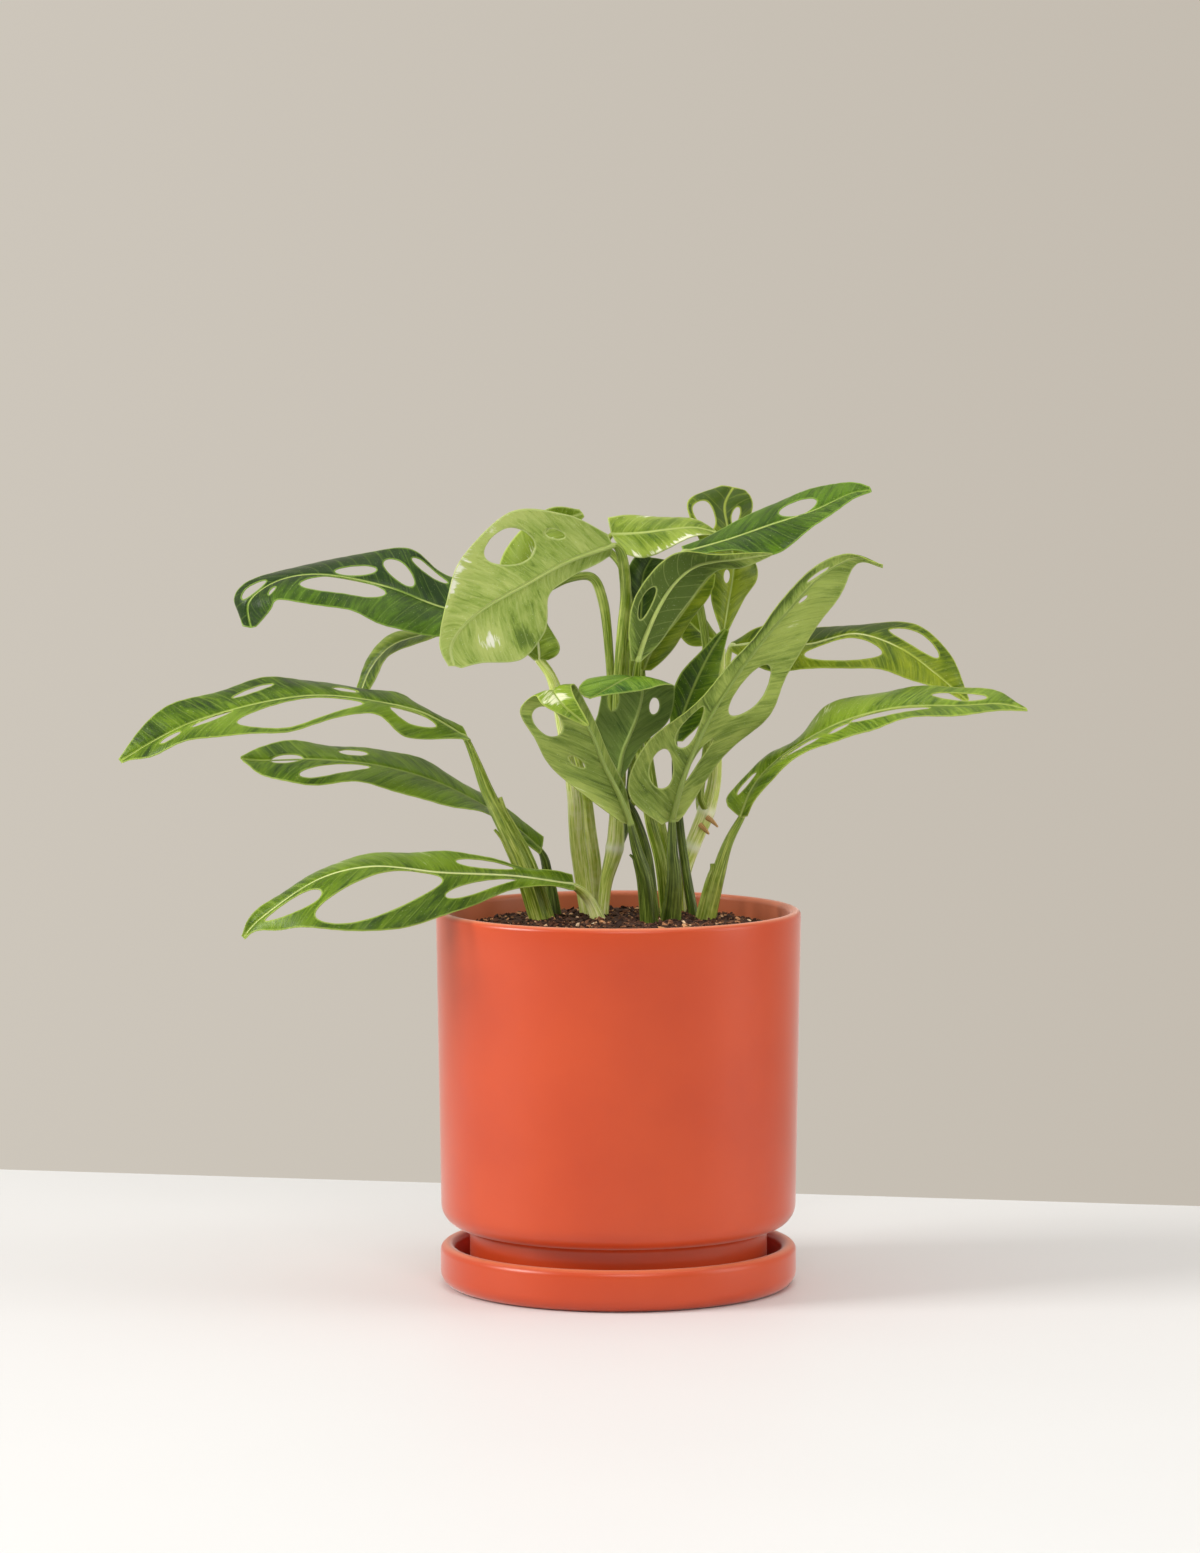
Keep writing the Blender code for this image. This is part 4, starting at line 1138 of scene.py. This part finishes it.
# The wings of leaf sheaths: which side of the petiole (-1 left), how far up it they reach, and their girth.
SHEATHS = {
    "long_left": [(1, 0.74, 0.0044), (-1, 0.6, 0.003)],
    "long_right": [(-1, 0.66, 0.0046)],
    "front_pale": [(1, 0.4, 0.004)],
    "front_curled": [(-1, 0.93, 0.0026)],
    "mid_left": [(1, 0.55, 0.0026)],
}


SHEATH_STEPS = 10
SHEATH_TIP_GAP = 0.0014


def sheath_route(petiole, side, reach, girth):
    """Where one wing of a leaf sheath hugs its petiole, from the soil up to its free tip."""
    route = standing(petiole)
    centres = [centre for centre, diameter in route]
    widths = [Vector((diameter, 0, 0)) for centre, diameter in route]
    last = len(route) - 1
    wing = []
    for i in range(SHEATH_STEPS + 1):
        at = last * reach * i / SHEATH_STEPS
        ahead = (along(centres, at + 0.02) - along(centres, max(at - 0.02, 0))).normalized()
        out = ahead.cross(Vector((0, -side, 0))).normalized()
        stands_off = 0.5 * along(widths, at).x + (SHEATH_TIP_GAP if i == SHEATH_STEPS else 0)
        thick = girth * (1 - 0.5 * (i / SHEATH_STEPS) ** 4)
        wing.append((along(centres, at) + out * stands_off + Vector((0, -0.0008, 0)), thick))
    return wing


# Shade, deep, light, cream and vein, for the upper side and then for the underside.
SKINS = {
    "green": (
        ("#2A420A", "#456206", "#6F8C1C", "#DCE2B0", "#A5BA54"),
        ("#4E6420", "#6F8632", "#95A94E", "#D3DAB4", "#A9BA62"),
    ),
    "deep": (
        ("#1F3A06", "#385604", "#587C0E", "#D3DDA0", "#8FAE48"),
        ("#3E581C", "#5C7628", "#7E9640", "#C9D29A", "#9DB45E"),
    ),
    "lime": (
        ("#3F5606", "#637A0A", "#94A324", "#DDE09E", "#B4C450"),
        ("#5A701A", "#7E9024", "#A4B03E", "#D9DDA4", "#B9C864"),
    ),
    "pale": (
        ("#3E5A10", "#647E1A", "#93A83E", "#EDF0D2", "#BCCB74"),
        ("#647C30", "#8FA54A", "#B6C470", "#F0F2DF", "#C2CF88"),
    ),
    "shaded": (
        ("#1E300E", "#304618", "#4E6824", "#A9B76C", "#7C9440"),
        ("#2E401C", "#445828", "#607636", "#9FAE68", "#80984E"),
    ),
    "grey": (
        ("#33500A", "#526F12", "#85A02C", "#E3E8C0", "#B0C05C"),
        ("#526628", "#768C3C", "#A2B25A", "#DDE2B8", "#B4C274"),
    ),
    "fold": (
        ("#24440A", "#3F680E", "#7A9C30", "#E6EBC8", "#A9BE5C"),
        ("#3C5222", "#586F30", "#778E44", "#B4C088", "#96AA5C"),
    ),
}
# The skin that each leaf wears, and its patches.
LOOKS = {
    "low_left": (
        "green",
        [
            (3.4, 0.9, 1.1, 0.45, 0.27),
            (2.0, 0.4, 0.5, 0.4, 0.2),
            (2.6, -0.9, 1.0, 0.35, -0.16),
            (5.0, -0.6, 0.7, 0.5, 0.14),
            (0.5, 0.0, 0.4, 1.0, 0.14),
        ],
    ),
    "long_left": (
        "green",
        [
            (4.5, -0.6, 0.5, 0.4, 0.2),
            (5.2, -0.3, 0.6, 0.25, 0.34),
            (4.2, 0.7, 2.2, 0.45, -0.24),
            (1.0, -0.5, 0.8, 0.6, 0.16),
            (1.2, 0.7, 0.8, 0.3, 0.26),
        ],
    ),
    "mid_left": (
        "green", [(1.6, 0.0, 1.1, 1.0, 0.1), (0.5, 0.0, 0.35, 0.8, -0.12), (5.2, 0.0, 1.0, 1.0, -0.08)]
    ),
    "upper_left": (
        "deep",
        [
            (1.2, -0.3, 0.6, 0.5, 0.08),
            (0.2, 0.0, 0.3, 1.0, 0.36),
            (3.6, 0.6, 2.8, 0.9, -0.55),
            (5.2, -0.2, 1.1, 1.2, -0.3),
        ],
    ),
    "front_pale": (
        "pale",
        [
            (3.3, -1.0, 1.2, 0.3, 0.5),
            (3.9, 0.5, 0.55, 0.16, 0.42),
            (3.3, 0.85, 0.35, 0.25, -0.34),
            (0.8, -0.5, 0.8, 0.5, 0.08),
            (5.0, 0.0, 0.8, 1.0, 0.06),
        ],
    ),
    "drooping": (
        "pale", [(1.5, 0.6, 1.0, 0.3, 0.3), (2.2, -0.4, 1.4, 0.7, -0.28), (3.4, 0.0, 0.6, 1.0, -0.2)]
    ),
    "behind_pale": (
        "pale", [(3.2, 0.0, 0.7, 1.0, 0.4), (1.0, 0.6, 0.6, 0.5, 0.12), (1.0, -0.5, 0.5, 0.4, -0.26)]
    ),
    "top_pale": (
        "pale", [(2.0, -1.0, 2.2, 0.35, 0.5), (2.0, 1.0, 2.2, 0.35, 0.55), (1.2, 0.5, 0.6, 0.4, -0.1)]
    ),
    "top_back": ("lime", [(4.4, 0.0, 1.3, 1.6, -0.55), (1.5, 0.2, 0.7, 0.7, 0.2)]),
    "upper_right": (
        "deep", [(1.5, 0.3, 1.4, 0.6, -0.14), (4.0, 0.2, 1.0, 1.0, 0.14), (2.0, -0.9, 1.0, 0.3, 0.1)]
    ),
    "right_under": (
        "grey", [(4.0, 0.0, 0.9, 1.0, 0.06), (2.0, -0.2, 1.6, 1.1, -0.8), (0.7, 0.9, 0.9, 0.3, 0.1)]
    ),
    "long_up": (
        "grey",
        [
            (4.8, 1.0, 1.2, 0.5, -0.5),
            (5.0, -0.3, 1.1, 0.6, 0.16),
            (3.2, -0.7, 0.8, 0.4, 0.12),
            (1.2, 0.3, 1.0, 0.9, -0.12),
        ],
    ),
    "right_back": (
        "lime", [(2.5, -0.7, 2.2, 0.6, -0.55), (4.6, 0.0, 0.8, 0.8, 0.08), (1.0, 0.0, 0.8, 1.0, -0.06)]
    ),
    "long_right": (
        "grey", [(3.8, -0.6, 0.7, 0.6, 0.36), (2.0, -0.8, 1.2, 0.5, 0.1), (0.5, 0.0, 0.6, 1.0, 0.1)]
    ),
    "front_curled": (
        "grey",
        [
            (1.3, 1.0, 0.9, 0.3, 0.3),
            (5.5, 0.0, 0.7, 1.2, 0.5),
            (6.8, 0.0, 0.5, 1.0, -0.14),
            (1.6, 0.1, 0.8, 0.4, -0.1),
        ],
    ),
    "folded_top": ("fold", [(4.4, 0.8, 0.6, 0.5, 0.26), (1.4, 0.0, 1.0, 1.0, 0.12)]),
    "narrow_fold": ("lime", [(2.0, 0.0, 1.0, 1.0, -0.1)]),
    "lime_back": ("lime", [(1.5, 0.0, 1.2, 1.0, -0.2)]),
    "broad_back": ("green", [(1.5, 0.9, 1.2, 0.3, 0.1), (2.0, -0.4, 2.0, 0.8, -0.24)]),
    "shaded_back": ("shaded", []),
}
skins = {}
for name, (upper, under) in SKINS.items():
    skins[name] = [
        leaf_skin(name + " leaf, upper side", *upper, 0.34, 0.28, 0.00025),
        leaf_skin(name + " leaf, underside", *under, 0.6, 0.2, 0.0003),
    ]
# Petioles that stand in the light wear paler copies of the skin, which is painted light, and those in the
# others' shade wear a deeper green copy, which is painted shade.
LIT_AND_SHADED_STALK_SKINS = {
    "bright": stalk_skin("white-streaked petiole paled by painted light", "#A4BE3C", "#DAE67E", "#F8FACC", "#E6EEBA", 0.7),
    "pale": stalk_skin("petiole paled by painted light", "#8AA62E", "#C6D460", "#F0F4BA", "#E0E9AE", 0.6),
    "green": stalk_skin("ribbed green petiole", "#506A10", "#82992A", "#C2CE6C", "#C4D47E", 0.5),
    "deep": stalk_skin("petiole darkened by painted shade", "#2C3C08", "#485C14", "#869842", "#A6BC5E", 0.25),
}
STALK_LIGHT_AND_SHADE = {
    "bright": {"behind_pale"},
    "pale": {"drooping", "low_left", "right_back"},
    "deep": {"front_curled", "broad_back", "folded_top", "shaded_back", "mid_left", "long_up"},
}
for seed, (name, leaf) in enumerate(LEAVES.items()):
    slot = "variegated_leaf" if name in VARIEGATED else "green_leaf"
    skin, tones = LOOKS[name]
    sheet = piece("blade_" + name, blade(leaf, tones, seed), skins[skin], slot, "blade_" + name, sharp=75)
    thickness = sheet.modifiers.new("thickness", "SOLIDIFY")
    thickness.thickness = BLADE_THICKNESS
    thickness.offset = 0
    thickness.material_offset = 1
    thickness.use_quality_normals = True
    branch = [BRANCHES[name]] if name in BRANCHES else []
    ribbed = stalk(midrib_route(leaf, branch), turn=seed, joint=len(branch + leaf["petiole"]))
    nodes = ["petiole_" + name] if leaf["petiole"] else []
    for side, reach, girth in SHEATHS.get(name, ()):
        wing = stalk(sheath_route(leaf["petiole"], side, reach, girth), ribs=5, turn=seed + side)
        pour(wing, ribbed)
    # which copy this petiole wears: painted light, painted shade, or the plain green skin
    shade = next((look for look, names in STALK_LIGHT_AND_SHADE.items() if name in names), "green")
    piece(("petiole_" if nodes else "midrib_") + name, ribbed, [LIT_AND_SHADED_STALK_SKINS[shade]], "stalk", *nodes)


# Stage: a plain pale table whose back edge runs a little askew, a warm grey wall far behind it, which is
# the world's colour, a large soft key light from the left, a weaker one from the right, a wide light
# overhead and a fill from in front, a little above the plant.
def table_top():
    """Matt white laminate: slightly warm, with a soft sheen."""
    made, tree, shader = finish_named("matt white table top", Roughness=0.55, IOR=1.45)
    place_node = add(tree, "TexCoord").outputs["Object"]
    cloud = add(tree, "TexNoise", {"Vector": place_node, "Scale": 3, "Detail": 2})
    tint = add(
        tree, "ValToRGB", {"Fac": cloud.outputs["Fac"]}, stops=[(0.3, "#E4E6E8"), (0.7, "#E6E8EA")]
    )
    tree.links.new(tint.outputs["Color"], shader.inputs["Base Color"])
    return made


TABLE_BACK = [(-0.9, 0.51), (0.9, 0.16)]
TABLE_FRONT = -2.6
bm = bmesh.new()
bmesh.ops.create_grid(bm, x_segments=1, y_segments=1, size=1)
for vert in bm.verts:
    side = 3.0 if vert.co.x > 0 else -3.0
    (x0, y0), (x1, y1) = TABLE_BACK
    back = y0 + (y1 - y0) * (side - x0) / (x1 - x0)
    vert.co = (side, back if vert.co.y > 0 else TABLE_FRONT, 0)
mesh = bpy.data.meshes.new("table")
bm.to_mesh(mesh)
bm.free()
mesh.materials.append(table_top())
table = bpy.data.objects.new("table", mesh)
bpy.context.scene.collection.objects.link(table)
table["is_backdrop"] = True

world = bpy.data.worlds.new("warm grey studio")
bpy.context.scene.world = world
world.use_nodes = True
tree = world.node_tree
ground = tree.nodes["Background"]
ray = add(tree, "TexCoord").outputs["Generated"]
ray = add(tree, "SeparateXYZ", {0: ray})
across = add(
    tree,
    "MapRange",
    {"Value": ray.outputs["X"], "From Min": -0.16, "From Max": 0.16, "To Min": 0, "To Max": 1},
)
sweep = add(
    tree, "ValToRGB", {"Fac": across.outputs["Result"]}, stops=[(0.0, "#CFC8BD"), (1.0, "#C2BAAE")]
)
# the far side of the room, behind the viewer, is dimmer than the wall
depth = add(
    tree,
    "MapRange",
    {"Value": ray.outputs["Y"], "From Min": -0.35, "From Max": 0.5, "To Min": 0, "To Max": 1},
)
room = add(
    tree,
    "Mix",
    {0: depth.outputs["Result"], 6: linear("#A29D97"), 7: sweep.outputs["Color"]},
    data_type="RGBA",
)
tree.links.new(room.outputs[2], ground.inputs["Color"])
ground.inputs["Strength"].default_value = 1.0

LIGHTS = {
    # name: (place, aim, width, height, watts, colour)
    "key": ((-3.0, -0.9, 1.9), (0, 0, 0.25), 1.3, 1.3, 90, "#FFFCF8"),
    "right": ((2.2, -0.5, 1.0), (0, 0, 0.2), 1.0, 1.6, 15, "#FFFCF8"),
    "top": ((0.3, 0.0, 3.4), (0, -0.3, 0.0), 3.0, 3.0, 26, "#FFFFFF"),
    "front": ((0.3, -2.3, 2.1), (0, 0, 0.25), 1.4, 1.0, 24, "#FFFDFA"),
}
for name, (spot, aim, wide, high, watts, colour) in LIGHTS.items():
    lamp = bpy.data.lights.new(name, "AREA")
    lamp.shape = "RECTANGLE"
    lamp.size, lamp.size_y = wide, high
    lamp.energy = watts
    lamp.color = linear(colour)[:3]
    made = bpy.data.objects.new(name, lamp)
    made.location = spot
    made.rotation_euler = (Vector(aim) - Vector(spot)).to_track_quat("-Z", "Y").to_euler()
    bpy.context.scene.collection.objects.link(made)

# Camera: a long lens, a little above the rim and looking slightly down.
camera = bpy.data.objects.new("camera", bpy.data.cameras.new("camera"))
camera.location = (-0.0103, -3.109, 0.548)
camera.rotation_euler = (math.radians(90 - 4.85), 0, 0)
camera.data.lens = 130.25
camera.data.sensor_width = 36
bpy.context.scene.collection.objects.link(camera)
bpy.context.scene.camera = camera
bpy.context.scene.view_settings.view_transform = "Standard"

low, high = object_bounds()
